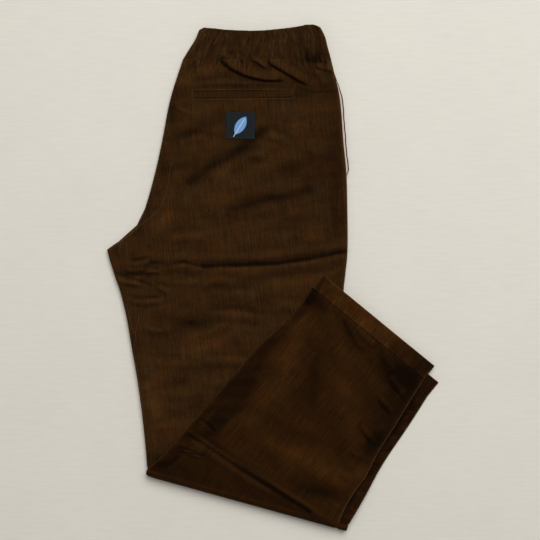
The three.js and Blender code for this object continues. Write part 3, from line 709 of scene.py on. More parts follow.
# Soft ovals of uneven nap, and of painted shade and highlights where the folds and hollows of the cloth
# are
thighNapAndShade = [
    # x, y, half length, half width, turn, strength
    # below the waistband and along both edges
    (-92, 298, 22, 11, -20, 0.2), (-126, 287, 14, 9, 0, 0.55), (-10, 297, 14, 6, -20, -0.18),
    (94, 165, 14, 120, 0, -0.24), (76, 158, 26, 40, 0, -0.1), (-95, 225, 26, 9, 5, -0.14),
    (-140, 104, 14, 8, 50, -0.2), (84, 80, 24, 26, 0, -0.1), (-146, 240, 7, 32, 6, -0.26),
    (-163, 172, 8, 36, 12, -0.2),
    (-184, 98, 30, 8, 69, -0.22), (-228, 42, 14, 7, -60, -0.18), (40, 264, 30, 6, 0, -0.16),
    (-100, 262, 12, 5, 0, -0.14),
    # seat
    (-128, 164, 26, 8, 4, -0.2), (-72, 150, 17, 9, 24, 0.36), (-157, 82, 17, 9, 50, 0.26),
    (30, 160, 26, 12, 10, -0.26), (-84, 116, 38, 13, 24, 0.1),
    (26, 220, 16, 9, 0, 0.06), (22, 72, 28, 8, 10, -0.12),
    (-32, 64, 32, 8, 2, 0.12), (-120, 205, 22, 7, 20, -0.14), (40, 84, 30, 10, 6, -0.08),
    (-10, 140, 34, 9, 12, -0.08), (50, 185, 26, 8, -6, -0.1),
    # thigh
    (-192, 4, 28, 16, 0, -0.14), (-124, -68, 34, 14, 14, -0.36), (-100, -98, 42, 12, 20, 0.28),
    (-176, -150, 10, 44, 0, 0.16), (-170, -188, 12, 26, 8, 0.26), (-105, -128, 28, 6, 10, -0.12),
    (-134, -207, 26, 9, 10, 0.12), (-170, -264, 22, 11, 0, -0.18), (48, -6, 44, 7, 6, 0.12),
    (-204, -104, 34, 5, 82, -0.24), (-60, -40, 30, 6, 0, -0.1), (-150, -40, 22, 7, 10, 0.1),
]


def softWrinkles(look, x, y):  # small uneven wrinkles between the main creases
    dice = np.random.default_rng(look["seed"])
    marks = []
    for i in range(look["count"]):
        place = (dice.uniform(*look["across"]), dice.uniform(*look["up"]))
        size = (dice.uniform(*look["long"]), dice.uniform(*look["wide"]))
        turn = look["turn"] + dice.uniform(-24, 24)
        marks.append((*place, *size, turn, dice.uniform(-1, 1) * look["height"]))
    return softMarks(marks, x, y)


def thighTop(x, y):
    height, leanX, leanY = creaseShape(thighCreases, x, y)
    height = height + softWrinkles(rightBack["wrinkles"], x, y)
    down = stack["waistTop"] - y
    left, right = along(seatCurve, down), thighRight(down)
    share = (x - left) / (right - left)
    height = np.maximum(height + gatherWave(share, down), rightBack["deepest"])
    return stack["top"] + bodyLift(x, y) + height, leanX, leanY


def gatherFolds():
    # Uneven gathers of the elastic: place across, width, height, top and bottom down the leg, and tilt
    dice = np.random.default_rng(rightBack["gatherSeed"])
    count = rightBack["gathers"]
    place = (np.arange(count) + 0.5 + dice.uniform(-0.6, 0.6, count)) / count
    width = dice.uniform(0.0055, 0.013, count)
    height = dice.uniform(0.25, 1.0, count) * np.where(dice.random(count) < 0.45, -0.7, 1)
    start = dice.uniform(-14, 34, count)
    end = start + dice.uniform(12, 40, count)
    end = np.where(dice.random(count) < 0.55, dice.uniform(56, 74, count), end)
    tilt = dice.uniform(-0.0016, 0.0016, count)
    return list(zip(place, width, height, start, end, tilt))


def gatherWave(share, down):  # height of the gathers at a share of the width and a distance down
    total = np.zeros(np.broadcast_shapes(np.shape(share), np.shape(down)))
    for i, (place, width, height, start, end, tilt) in enumerate(gatherFolds()):
        waver = 0.004 * np.sin(down / 6.5 + i * 1.9)
        off = (share - place - tilt * (down - 30) - waver) / width
        run = smooth((down - start) / 9 + 0.5) * smooth((end - down) / 12 + 0.5)
        total += height * np.exp(-off * off) * run
    return total * rightBack["gatherHeight"]


waistNapAndShade = [  # painted shade and highlights of a dimple and tucks by the waistband: x, y, half length, half width, turn, strength
    (62, 314, 11, 3.5, -8, -0.8), (57, 319, 17, 11, -12, -0.5), (-86, 328, 12, 5, 80, -0.35),
    (94, 296, 9, 3, -60, -0.3), (57, 338, 16, 26, 0, -0.18), (78, 334, 20, 4, -69, 0.4),
    (66, 308, 14, 4, -12, 0.2),
]


def waistSpots(x, y):  # painted shade and highlights of small wrinkles over the gathers, on the band and a little below
    look = rightBack["spots"]
    dice = np.random.default_rng(look["seed"])
    marks = list(waistNapAndShade)
    for i in range(look["count"]):
        place = (dice.uniform(*look["across"]), dice.uniform(*look["up"]))
        size = (dice.uniform(3, 9), dice.uniform(1.0, 2.2))
        marks.append((*place, *size, 90 + dice.normal(0, look["turns"]), dice.uniform(-0.4, 0.32)))
    return softMarks(marks, x, y) * smooth((y - 296) / 16)


def makeRightBack():
    down = rowsDown(rightBack)
    lay = layPanel(
        rightBack, np.full(len(down), math.pi), thighRows(down, 0), (inseamRim(down), stack["legRim"]),
        levelBase(0), lambda x, y, fromLeft: thighTop(x, y))
    x, y = lay["x"], lay["y"]
    rubbedAndSheen = fade(lay["fromRight"], rightBack["rimReach"]) + fade(lay["fromLeft"], rightBack["rimReach"])
    # nap, and painted shade and highlights of creases and gathers
    light = paintedShading["marks"] * softMarks(thighNapAndShade, x, y) + rightBack["lines"] * lineMarks(thighLines, x, y)
    marks = {
        "napAndPaintedShade": light + waistSpots(x, y) - rightBack["upperShade"] * smooth((y - 244) / 30),
        "wearAndSheen": rightBack["wearAndSheen"] * rubbedAndSheen,
    }
    pattern = patternPlace(x, y, 0, False)
    piece = makeSheet("rightBack", lay["points"], pattern, marks, 1, stack["cloth"])
    settle(piece, thighCloth, "corduroy", "right_back_panel")
    return piece


# Left back: on the floor, round the knee fold and face up on the flap
leftBack = {
    "columns": 104,
    "edgeSteps": 7,
    "curl": 6,
    "firstRows": (52.3, 60),
    "rowSteps": ((76, 643, 24),),
    "bendRows": 16,
    "flapRows": 120,
    "rims": (5, 7.3),  # heights of the flap's inside and outside edge over its base
    "dip": 2,  # the flap sinks this far towards its inside leg
    "dipWidth": 18,
    "deepest": -1.2,
    "shade": 0.85,
    # wear and painted sheen along the flap's outer rim
    "wearAndSheen": 0.3,
    "wrinkles": {
        "seed": 8, "count": 90, "across": (-180, 225), "up": (-360, -10), "long": (10, 30),
        "wide": (4, 8), "turn": 55, "height": 0.5,
    },
}
flapCreases = [
    # x0, y0, x1, y1, x2, y2, rise, reach, steep, lean
    # long ridge from the inseam down to the fold
    (78, -350, -22, -288, -130, -220, 2.8, 16, 0.45, 1.6),
    (-100, -204, -90, -211, -78, -221, 0.5, 8, 0.8, 0.2),
    (-135, -240, -120, -247, -98, -256, 1.5, 7, 0.5, 1.0),
    # folds that fan out from the hem
    (74, -52, 92, -90, 108, -150, 1.3, 15, 0.9, 0),
    (101, -57, 112, -88, 150, -114, -1.2, 11),
    (122, -66, 134, -90, 150, -100, 1.5, 9, 0.8, 0.4),
    (146, -82, 150, -100, 160, -134, -0.9, 10),
    (164, -96, 166, -116, 172, -140, 1.3, 10),
    (72, -62, 52, -128, 38, -176, 1.3, 16, 0.8, 0),
    (-40, -170, 20, -190, 60, -240, 1.2, 22),
    (100, -150, 96, -200, 112, -262, 1.3, 18),
    # puckers along the side seam
    (192, -170, 182, -158, 170, -142, 0.9, 7, 0.7, 0),
    (176, -196, 166, -184, 152, -170, 0.9, 7, 0.6, 0),
    (150, -240, 140, -228, 128, -212, 0.8, 7, 0.7, 0),
    (136, -262, 126, -258, 112, -252, 0.9, 7),
    (116, -292, 106, -288, 94, -280, 0.9, 8),
    (98, -336, 90, -328, 80, -320, 0.9, 6, 0.8, 0.3),
]
# Soft ovals of uneven nap, and of painted shade and highlights of the folds on the flap
flapNapAndShade = [
    # x, y, half length, half width, turn, strength
    # light and dark runs down from the hem: nap, and painted shade and highlights of its folds
    (62, -33, 22, 13, -40, -0.36), (27, -108, 48, 15, 77, 0.46), (54, -64, 18, 12, 50, 0.12),
    (-16, -184, 46, 15, 51, 0.26), (59, -154, 46, 12, 85, -0.26), (101, -160, 52, 13, -78, 0.2),
    (112, -84, 30, 7, -62, -0.2), (138, -100, 24, 7, -50, 0.1),
    # painted shade in the corner of the hem and the side seam
    (188, -137, 38, 25, -40, -0.36), (150, -122, 34, 18, -50, -0.14), (160, -186, 42, 25, 56, -0.2),
    (146, -240, 26, 12, 56, -0.28), (186, -168, 8, 4, 50, 0.24), (160, -214, 9, 4, 50, 0.24),
    # towards the knee fold
    (56, -264, 46, 15, -24, 0.46), (82, -286, 20, 9, -30, 0.3), (127, -284, 16, 11, 0, 0.2),
    (70, -309, 32, 10, -15, -0.36), (-163, -269, 24, 8, -16, -0.1), (-79, -228, 12, 6, 50, -0.14),
    (-101, -214, 11, 7, 50, 0.3), (0, -240, 40, 10, -30, 0.1),
]
flapLines = [
    # painted shade along creases and painted highlights on ridges: half width, strength, points
    (4.2, -0.36, (-97, -232), (-60, -259), (-25, -285), (16, -314), (60, -341)),
    (1.8, -0.42, (-127, -223), (-104, -238), (-88, -249), (-56, -270), (-23, -292), (20, -318),
     (58, -342)),
    (3.0, 0.42, (-121, -233), (-98, -247), (-60, -275), (-25, -298), (0, -312)),
    (1.3, 0.35, (-107, -206), (-96, -215), (-84, -226)),
    (1.5, -0.3, (-105, -202), (-94, -210), (-80, -223)),
    (1.3, 0.4, (-134, -246), (-118, -253), (-102, -261)),
    (1.5, -0.3, (-133, -249), (-117, -257), (-104, -264)),
    (3.6, -0.2, (101, -57), (108, -74), (121, -99), (140, -110)),
    (2.2, -0.24, (190, -175), (179, -164), (166, -148)),
    (2.2, -0.24, (173, -201), (162, -190), (150, -176)),
    (2.2, -0.24, (147, -244), (137, -233), (126, -217)),
]
inseamWidth = [  # y, width of the dark band along the inside leg
    (-245, 24), (-229, 36), (-186, 44), (-150, 34), (-135, 27), (-109, 20), (-84, 16), (-40, 12),
    (-16, 8),
]


def flapShade(lay):  # painted shade: darker along the inseam, along the side seam and below the long ridge
    x, y, fromLeft = lay["x"], lay["y"], lay["fromLeft"]
    width = along(inseamWidth, y) + 1.5 * np.sin(y / 5.3)
    waver = 0.06 * np.sin(y / 9) + 0.05 * np.sin(y / 3.1)
    inseamBand = (0.34 + waver) * (1 - smooth((fromLeft - width + 7) / 13))
    sideBand = 0.22 * (1 - smooth((lay["fromRight"] - 8) / 34)) * smooth((y + 300) / 60)
    belowRidge = -0.523 * (x + 117) - 0.852 * (y + 234)
    return np.maximum(inseamBand, 0.19 * smooth((belowRidge - 3) / 10)) + sideBand


def flapDip(fromLeft):
    return leftBack["dip"] * (1 - smooth(fromLeft / leftBack["dipWidth"]))


def flapTop(x, y, fromLeft):
    height, leanX, leanY = creaseShape(flapCreases, x, y)
    height = height + softWrinkles(leftBack["wrinkles"], x, y)
    return stack["foldAxis"] - flapDip(fromLeft) + np.maximum(height, leftBack["deepest"]), leanX, leanY


def makeLeftBack():
    axis = stack["foldAxis"]
    sink = stack["top"] - axis
    thighRim = stack["legRim"] - sink
    down = rowsDown(leftBack)
    share = np.linspace(0, 1, leftBack["bendRows"] + 1)
    run = np.linspace(0, 1, leftBack["flapRows"] + 1)[1:]

    def bendTop(x, y, fromLeft):
        return axis - (share ** 2)[:, None] * flapDip(fromLeft), 0 * x, 0 * x

    lay = layLeg(leftBack, share, {
        "ends": thighRows(down, stack["kneeInset"]), "rims": (inseamRim(down) - sink, thighRim),
        "base": levelBase(axis), "top": levelTop(axis),
    }, {
        "ends": (kneeLeft, kneeRight), "rims": [mix(thighRim, rim, share) for rim in leftBack["rims"]],
        "base": levelBase(axis), "top": bendTop,
    }, {
        "ends": (edgeAt(flapInseam, run), edgeAt(flapSide, run)), "rims": leftBack["rims"],
        "base": overThigh, "top": flapTop,
    })
    onFlap = lay["lower"]
    light = softMarks(flapNapAndShade, lay["x"], lay["y"]) + lineMarks(flapLines, lay["x"], lay["y"])
    rubbedAndSheen = leftBack["wearAndSheen"] * onFlap * fade(lay["fromRight"], 1.0)
    # nap, painted shade and highlights on the flap, and painted shade along its seams and below the long
    # ridge
    marks = {
        "napAndPaintedShade": onFlap * paintedShading["marks"] * (light - leftBack["shade"] * flapShade(lay) - 0.02),
        "wearAndSheen": rubbedAndSheen + 0.03 * fade(lay["fromLeft"], 1.5),
    }
    piece = makeLeg("leftBack", lay, axis, marks, -1)
    settle(piece, flapCloth, "corduroy", "left_back_panel")


# Fronts, hidden between the backs but for their edges
fronts = {
    "columns": 40,
    "edgeSteps": 5,
    "curl": 4,
    "firstRows": (),
    "rowSteps": ((54, 643, 12),),
    "bendRows": 12,
    "inset": 0.6,  # how far their edges lie inside the backs'
    "seatInset": 8,
    "crotchInset": 15,
    "crotchReach": 30,
}
rightFront = {
    "axis": 9.6,  # height of the middle of its fold
    "height": 5.1,  # outer face on the floor side
    "rimHeight": 6.2,
    "overHeight": 13.9,  # outer face over the thigh, at the fold
    "foldRims": (1.8, 2.6),
    "foldStart": 2,  # its fold's left end, in from the left leg's
    "foldEnd": 110,  # x of its right end
    "reachOut": 5.5,  # it stands out past the left leg's fold by this, from x = reachFrom on
    "reachFrom": 87,
    "lowerRows": 59,
    "lowerHeight": 3.6,
    "lowerRim": 1.9,
    # wear and painted sheen along its right rim on the lower leg
    "wearAndSheen": 0.3,
    "rimReach": 1.1,
    "seed": 7,
    "spots": 130,
    # painted shadow over all the strip under the flap's edge
    "shade": 0.36,
}
leftFront = {
    "height": 4.7,
    "rimHeight": 3.6,
    "lowerRows": 29,
    "lowerHeight": 5.2,
    "lowerRims": (5.9, 6.1),
    "lowerInset": 9,
}
stripCreases = [
    (226, -176, 214, -186, 206, -190, 0.7, 5),
    (205, -206, 196, -204, 188, -210, 0.6, 5),
    (186, -236, 178, -232, 170, -240, 0.7, 6),
    (165, -266, 156, -264, 150, -272, 0.6, 5),
]
stripLines = [  # painted shadow in the gap beside the upper leg's edge
    (2.4, -0.55, (220.2, -151), (200.5, -183.5), (179, -219.5), (154, -257), (135, -291.5), (122, -309),
     (104, -338)),
]


def stripSpots(x, y):  # painted shade along the strip of the right leg that shows under the flap's edge, with lighter and darker spots
    dice = np.random.default_rng(rightFront["seed"])
    marks = []
    for i in range(rightFront["spots"]):
        place = dice.uniform(0, 1)
        spot = edgeAt(lowerSide, place) - (dice.uniform(1, 16), 0)
        size = (dice.uniform(1.5, 5), dice.uniform(1, 2.4))
        marks.append((*spot, *size, dice.uniform(20, 100), dice.uniform(-0.5, 0.5)))
    return softMarks(marks, x, y) - rightFront["shade"]


def frontRows(kneeInset):  # ends of a front's rows, inside the edges of the backs
    down = rowsDown(fronts)
    left, right = thighRows(down, kneeInset)
    nearCrotch = np.clip(1 - np.abs(down - stack["crotchDown"]) / fronts["crotchReach"], 0, 1)
    seat = fronts["seatInset"] * (down < stack["crotchDown"]) + fronts["crotchInset"] * nearCrotch
    left[:, 0] += seat + fronts["inset"]
    right[:, 0] -= fronts["inset"]
    return left, right


def makeRightFront():
    look = rightFront
    axis, rim = look["axis"], look["axis"] - look["rimHeight"]
    radius, overRadius = axis - look["height"], look["overHeight"] - axis
    share = np.linspace(0, 1, fronts["bendRows"] + 1)
    run = np.linspace(0, 1, look["lowerRows"] + 1)[1:]
    out = look["reachOut"] * np.sin(math.pi * share)
    rims = [mix(rim, foldRim, share) for foldRim in look["foldRims"]]
    foldLength = (look["foldEnd"] - kneeLeft[0]) / foldRun[0]

    def bendTop(x, y, fromLeft):
        beyond = smooth((x - look["reachFrom"]) / 8) * out[:, None]
        return mix(radius, overRadius, share)[:, None] + beyond, 0 * x, 0 * x

    def lowerTop(x, y, fromLeft):
        height, leanX, leanY = creaseShape(stripCreases, x, y)
        return look["lowerHeight"] + height, leanX, leanY

    lay = layLeg(fronts, share, {
        "ends": frontRows(0), "rims": (rim, rim), "base": levelBase(axis), "top": levelTop(radius),
    }, {
        "ends": (kneeLeft + foldRun * look["foldStart"], kneeLeft + foldRun * foldLength),
        "rims": (rims[0], rims[1] + out), "base": levelBase(axis), "top": bendTop,
    }, {
        "ends": (edgeAt(lowerInseam, run), edgeAt(lowerSide, run)),
        "rims": (look["lowerRim"], look["lowerRim"]), "base": bed, "top": lowerTop,
    })
    folded = lay["turned"] >= math.pi
    marks = {
        "napAndPaintedShade": folded * (stripSpots(lay["x"], lay["y"]) + lineMarks(stripLines, lay["x"], lay["y"])),
        "wearAndSheen": look["wearAndSheen"] * folded * fade(lay["fromRight"], look["rimReach"]),
    }
    piece = makeLeg("rightFront", lay, radius, marks, -1)
    settle(piece, flapCloth, "corduroy", "front_panels", "right_leg_lower")


def makeLeftFront():
    look = leftFront
    axis, inset = stack["foldAxis"], fronts["inset"]
    radius, rim = axis - look["height"], axis - look["rimHeight"]
    share = np.linspace(0, 1, fronts["bendRows"] + 1)
    run = np.linspace(0, 1, look["lowerRows"] + 1)[1:]
    foldInset = mix(inset, look["lowerInset"], share)[:, None]
    flapLeft, flapRight = edgeAt(flapInseam, run), edgeAt(flapSide, run)
    across = (flapRight - flapLeft) / np.hypot(*(flapRight - flapLeft).T)[:, None]
    lay = layLeg(fronts, share, {
        "ends": frontRows(stack["kneeInset"]), "rims": (rim, rim), "base": levelBase(axis),
        "top": levelTop(radius),
    }, {
        "ends": (kneeLeft + foldRun * foldInset, kneeRight - inset * foldRun),
        "rims": [mix(rim, lowerRim, share) for lowerRim in look["lowerRims"]],
        "base": levelBase(axis), "top": levelTop(mix(radius, look["lowerHeight"], share)[:, None]),
    }, {
        "ends": (flapLeft + look["lowerInset"] * across, flapRight - inset * across),
        "rims": look["lowerRims"], "base": overThigh, "top": levelTop(look["lowerHeight"]),
    })
    marks = {"napAndPaintedShade": 0 * lay["x"], "wearAndSheen": 0 * lay["x"]}
    piece = makeLeg("leftFront", lay, radius, marks, 1)
    settle(piece, flapCloth, "corduroy", "front_panels")


# Hems, turned up and stitched, each a flattened ring
hems = {
    "seamGap": 0.3,  # between the seam and the hem's own cloth
    "layerColumns": 150,
    "underColumns": 24,
    "turnColumns": 8,
    "depthRows": 15,
    "edgeRows": 7,
    "underRows": 6,
    "puckers": 34,
    "seed": 3,
    # wear and painted sheen along the hem's edge and its turned sides
    "wearAndSheen": 0.7,
    "foldWearAndSheen": 0.2,
    "threadInset": 1.8,
}
hemCreases = [
    (60, -12, 68, -6, 72, -2, 0.5, 5),
    (78, -22, 84, -16, 90, -10, 0.7, 5, 0.7, 0.3),
    (92, -34, 96, -30, 102, -24, -0.5, 4),
    (104, -44, 108, -36, 112, -32, 0.7, 5, 0.7, 0.3),
    (116, -54, 122, -46, 128, -40, 0.8, 6, 0.7, 0.4),
    (130, -66, 134, -60, 138, -56, -0.5, 4),
    (138, -74, 144, -64, 150, -56, 0.8, 6, 0.6, 0.4),
    (152, -84, 158, -76, 164, -70, 0.6, 6, 0.8, 0.2),
    (168, -100, 174, -92, 182, -84, 0.5, 7),
    (186, -116, 192, -108, 198, -100, 0.6, 7, 0.8, 0),
    (204, -132, 208, -124, 216, -114, 0.5, 6),
]
hemPlaces = {  # ends of the seam and of the edge, heights of the ring and of the gap in it
    "leftHem": {
        "node": "left_hem", "seam": (flapInseam[-1], flapSide[-1]),
        "edge": ((72.9, 3.8), (236, -129.3)), "low": 4.5, "high": 9.4, "hollow": 0.6,
        "creases": hemCreases,
    },
    "rightHem": {
        "node": "right_hem", "seam": (lowerInseam[-1], lowerSide[-1]),
        "edge": ((75.8, -17.8), (242.4, -153.7)), "low": 0, "high": 3.6, "hollow": 0.4, "creases": [],
    },
}
hemGround = [  # distance along the hem, lightness of its nap and painted shade
    (0, -0.2), (10, -0.1), (26, 0.45), (42, 0.6), (58, 0.5), (74, 0.8), (90, 0.8), (106, 0.55),
    (122, 0.6), (138, 0.35), (154, -0.05), (170, -0.24), (186, -0.33), (205, -0.38),
]


def hemNapAndShade(distance, deep):  # painted shade and highlights of slanted puckers that fade away from the stitches, over an uneven ground, and painted shade in the groove by the stitches
    dice = np.random.default_rng(hems["seed"])
    total = along(hemGround, distance)
    for i in range(hems["puckers"]):
        start = dice.uniform(4, 205)
        off = (distance - start + deep * dice.uniform(-0.1, 0.5)) / dice.uniform(1.6, 3.4)
        reach = dice.uniform(7, 22)
        strength = dice.choice([-0.5, 0.55]) * dice.uniform(0.4, 1)
        total = total + strength * np.exp(-off * off - (deep / reach) ** 2)
    return total - 0.4 * fade(deep, 1.6)


def makeHem(name, place):
    depthSize, hollow = stack["hemDepth"], place["hollow"]
    wall = (place["high"] - place["low"] - hollow) / 2
    turn = (wall + hollow) / 2
    seamLeft, seamRight = np.array(place["seam"], float)
    edgeLeft, edgeRight = np.array(place["edge"], float)
    # Way round the ring: share of the width, how far out past a side, and how high
    top = np.linspace(0, 1, hems["layerColumns"])[1:-1]
    under = np.linspace(1, 0, hems["underColumns"])[1:-1]
    bend = np.radians(np.linspace(90, -90, hems["turnColumns"]))
    share = np.concatenate([top, np.ones_like(bend), under, np.zeros_like(bend)])
    reach = np.concatenate([0 * top, np.cos(bend), 0 * under, -np.cos(bend)])
    lift = np.concatenate([0 * top + 1, np.sin(bend), 0 * under - 1, -np.sin(bend)])
    onTop = (np.arange(len(share)) < len(top)) * 1.0
    # Way from the seam down the outer face, round the edge and back up inside
    rounding = np.radians(np.linspace(90, -90, hems["edgeRows"]))
    gap, edge = hems["seamGap"] / depthSize, 1 - wall / 2 / depthSize
    outward = np.linspace(gap, edge, hems["depthRows"])[:-1]
    inward = np.linspace(edge, gap, hems["underRows"])[1:]
    around = edge + np.cos(rounding) * wall / 2 / depthSize
    depth = np.concatenate([outward, around, inward])[:, None]
    side = np.concatenate([0 * outward + 1, np.sin(rounding), 0 * inward - 1])[:, None]
    atEdge = np.concatenate([0 * outward, np.cos(rounding), 0 * inward])[:, None]
    leftX, leftY = mix(seamLeft[0], edgeLeft[0], depth), mix(seamLeft[1], edgeLeft[1], depth)
    rightX, rightY = mix(seamRight[0], edgeRight[0], depth), mix(seamRight[1], edgeRight[1], depth)
    width = np.hypot(rightX - leftX, rightY - leftY)
    inset = turn + wall / 2
    distance = mix(inset, width - inset, share) + reach * (turn + side * wall / 2)
    x = leftX + (rightX - leftX) * distance / width
    y = leftY + (rightY - leftY) * distance / width
    height = (place["low"] + place["high"]) / 2 + lift * (turn + side * wall / 2)
    rise, leanX, leanY = creaseShape(place["creases"], x, y)
    shown = onTop * (side > 0) * smooth((1 - depth) / 0.25)
    points = np.stack([x + leanX * shown, y + leanY * shown, bed(x, y) + height + rise * shown], -1)
    # wear and painted sheen along the edge, strongest in the middle, and on the turned sides
    middleMost = mix(0.35, 1, smooth(1.4 - np.abs(distance / width - 0.55) * 3))
    rubbedAndSheen = hems["wearAndSheen"] * atEdge ** 3 * (lift > -0.5) * middleMost
    marks = {
        "napAndPaintedShade": hemNapAndShade(distance, depth * depthSize) * onTop,
        "wearAndSheen": rubbedAndSheen + hems["foldWearAndSheen"] * np.abs(reach) ** 4,
    }
    piece = makeRing(name, points, patternPlace(x, y, math.pi * stack["foldAxis"], True), marks)
    settle(piece, flapCloth, "corduroy", place["node"])
    return piece


# Waistband: one elastic ring folded into four layers, gathered on its visible layer
band = {
    "wall": 2.6,
    "layers": (1.3, 4.7, 8.1, 12),  # heights of left back, left front, right front and right back
    "columns": 380,
    "straightColumns": 18,
    "turnColumns": 9,
    "rows": 28,
    "edgeRows": 7,
    "underRows": 6,
    "edge": 0.05,  # share of the depth, from the top, at which the wall turns over
    "seamRows": (1, 0.997, 0.985, 0.965),
    "sunkFrom": (0.86, 0.94, 0.985, 1),  # near the seam, its outer face sinks into the panels
    "sunkTo": (1, 0.86, 0.66, 0.58),
    "folds": (-1.2, 3.4),  # lowest and highest gather
    "stretch": 1.3,  # its cloth is longer than the elastic
    # wear and painted sheen on the top edge and the side turns
    "edgeWearAndSheen": 0.4,
    "foldWearAndSheen": 0.22,
}
bandTop = [(0, 9), (0.05, 5.5), (0.25, 8.5), (0.5, 9.5), (0.75, 5), (0.93, 0.3), (1, 5)]  # share, down
bandEnds = [  # share of the depth, x of both ends
    (0, -106.2, 69.2), (0.3, -111.3, 76.5), (0.65, -120.7, 80.8), (1, -130.1, 85.6),
]


def bandLine(share):  # middle of the wall round the ring, for each share of the band's depth
    half = band["wall"] / 2
    left, right = along(bandEnds, share, 1)[:, None], along(bandEnds, share, 2)[:, None]
    leftBackZ, leftFrontZ, rightFrontZ, rightBackZ = band["layers"]
    backTurn, sideTurn = (rightBackZ - leftBackZ) / 2, (rightBackZ - rightFrontZ) / 2
    frontTurn, leftSideTurn = (rightFrontZ - leftFrontZ) / 2, (leftFrontZ - leftBackZ) / 2
    backX, sideX = left + backTurn + half, right - sideTurn - half
    frontX = backX + frontTurn
    t = np.linspace(0, 1, band["columns"])[1:-1]
    ones = np.ones_like(share)[:, None]
    down = mix(6, stack["waistSeam"], share)[:, None]
    topX = mix(backX, sideX, t)
    across = (topX - left) / (right - left)
    topY = stack["waistTop"] - mix(along(bandTop, across), stack["waistSeam"], share[:, None])
    folds = gatherWave(across, down) + creaseShape(thighCreases, topX, topY)[0]
    parts = [(topX, rightBackZ + np.clip(folds, *band["folds"]))]

    def straight(start, end, z):
        steps = np.linspace(0, 1, band["straightColumns"])[1:-1]
        parts.append((mix(start, end, steps), ones * z + 0 * steps))

    def turn(x, z, radius, first, last):
        angle = np.radians(np.linspace(first, last, band["turnColumns"]))
        parts.append((x + radius * np.cos(angle), ones * z + radius * np.sin(angle)))

    turn(sideX, (rightBackZ + rightFrontZ) / 2, sideTurn, 90, -90)
    straight(sideX, frontX, rightFrontZ)
    turn(frontX, (rightFrontZ + leftFrontZ) / 2, frontTurn, 90, 270)
    straight(frontX, sideX, leftFrontZ)
    turn(sideX, (leftFrontZ + leftBackZ) / 2, leftSideTurn, 90, -90)
    straight(sideX, backX, leftBackZ)
    turn(backX, (leftBackZ + rightBackZ) / 2, backTurn, 270, 90)
    lineX, lineZ = (np.hstack(values) for values in zip(*parts))
    return lineX, lineZ, left, right


def makeWaistband():
    half = band["wall"] / 2
    rounding = np.radians(np.linspace(90, -90, band["edgeRows"]))
    outward = np.concatenate([band["seamRows"], np.linspace(0.94, band["edge"], band["rows"])[:-1]])
    inward = np.linspace(band["edge"], 1, band["underRows"])[1:]
    share = np.concatenate([outward, band["edge"] + 0 * rounding, inward])
    sunk = np.interp(outward, band["sunkFrom"], band["sunkTo"])
    side = np.concatenate([sunk, np.sin(rounding), 0 * inward - 1])[:, None]
    over = np.concatenate([0 * outward, np.cos(rounding), 0 * inward])[:, None]
    x, z, left, right = bandLine(share)
    tangentX = np.roll(x, -1, 1) - np.roll(x, 1, 1)
    tangentZ = np.roll(z, -1, 1) - np.roll(z, 1, 1)
    length = np.hypot(tangentX, tangentZ)
    outX, outZ = -tangentZ / length, tangentX / length
    placeX, placeZ = x + outX * half * side, z + outZ * half * side
    top = along(bandTop, (x - left) / (right - left))
    y = stack["waistTop"] - mix(top, stack["waistSeam"], share[:, None]) + over * half * 0.9
    points = np.stack([placeX, y, np.maximum(placeZ, 0)], -1)
    steps = np.hypot(np.diff(x, axis=1, prepend=x[:, :1]), np.diff(z, axis=1, prepend=z[:, :1]))
    run = np.cumsum(steps, 1)[len(share) // 2]
    pattern = np.stack([run * band["stretch"] + 0 * y, y], -1) / 1000
    # painted shade and highlights of the gathers and creases, and wear and painted sheen on its top edge
    # and side turns
    marks = {
        "napAndPaintedShade": waistSpots(x, y) + lineMarks(thighLines, x, y),
        "wearAndSheen": band["edgeWearAndSheen"] * over ** 2 + band["foldWearAndSheen"] * np.abs(outX) ** 3,
    }
    piece = makeRing("waistbandRing", points, pattern, marks, 0.5)
    settle(piece, bandCloth, "corduroy", "waistband")


# Rows of thread along seams
threadLook = {
    "pitch": 3.1,
    "length": 2.3,
    "radius": 0.36,
    "lift": 0.35,  # how far its middle stands over the cloth, as a share of its radius
    "above": 60,  # height that stitches are dropped from
    "brown": ((0.075, 0.045, 0.020, 1), (0.12, 0.078, 0.040, 1)),
    "dark": ((0.022, 0.010, 0.004, 1), (0.050, 0.026, 0.011, 1)),
    "navy": ((0.016, 0.020, 0.026, 1), (0.040, 0.047, 0.056, 1)),
}
seatLines = [
    [(-146, 168), (-152, 130), (-160, 104), (-170, 91), (-195, 72), (-207, 60.5)],
    [(-217, 56), (-220, 46), (-222, 34)],
    [(-212, -38), (-206, -62), (-200, -84)],
    [(-193, -56), (-198, -80), (-200.5, -103), (-200, -120), (-196, -134), (-190.5, -170),
     (-184.5, -215)],
]
weltLines = [
    [(-116, 257.4), (-40, 257.8), (31, 258.6)], [(-116, 257.4), (-116, 272)],
    [(31, 258.6), (31, 273.6)],
]
patchLines = [[(-65.2, 237.4), (-26.9, 237.4), (-26.9, 201.3), (-65.2, 201.3), (-65.2, 237.4)]]


def threadMaterial(name, colours):
    material, shader, wire = startMaterial(name, {"Specular IOR Level": 0.1})
    twist = noise(wire, objectPlace(wire), 1500.0, 2.0)
    colour = mixColours(wire, spread(wire, twist, 0.3, 0.7, 0.0, 1.0), *colours)
    feed(wire, shader, colour, twist * 0.2 + 0.6, (0.5, 0.1, twist))
    return material


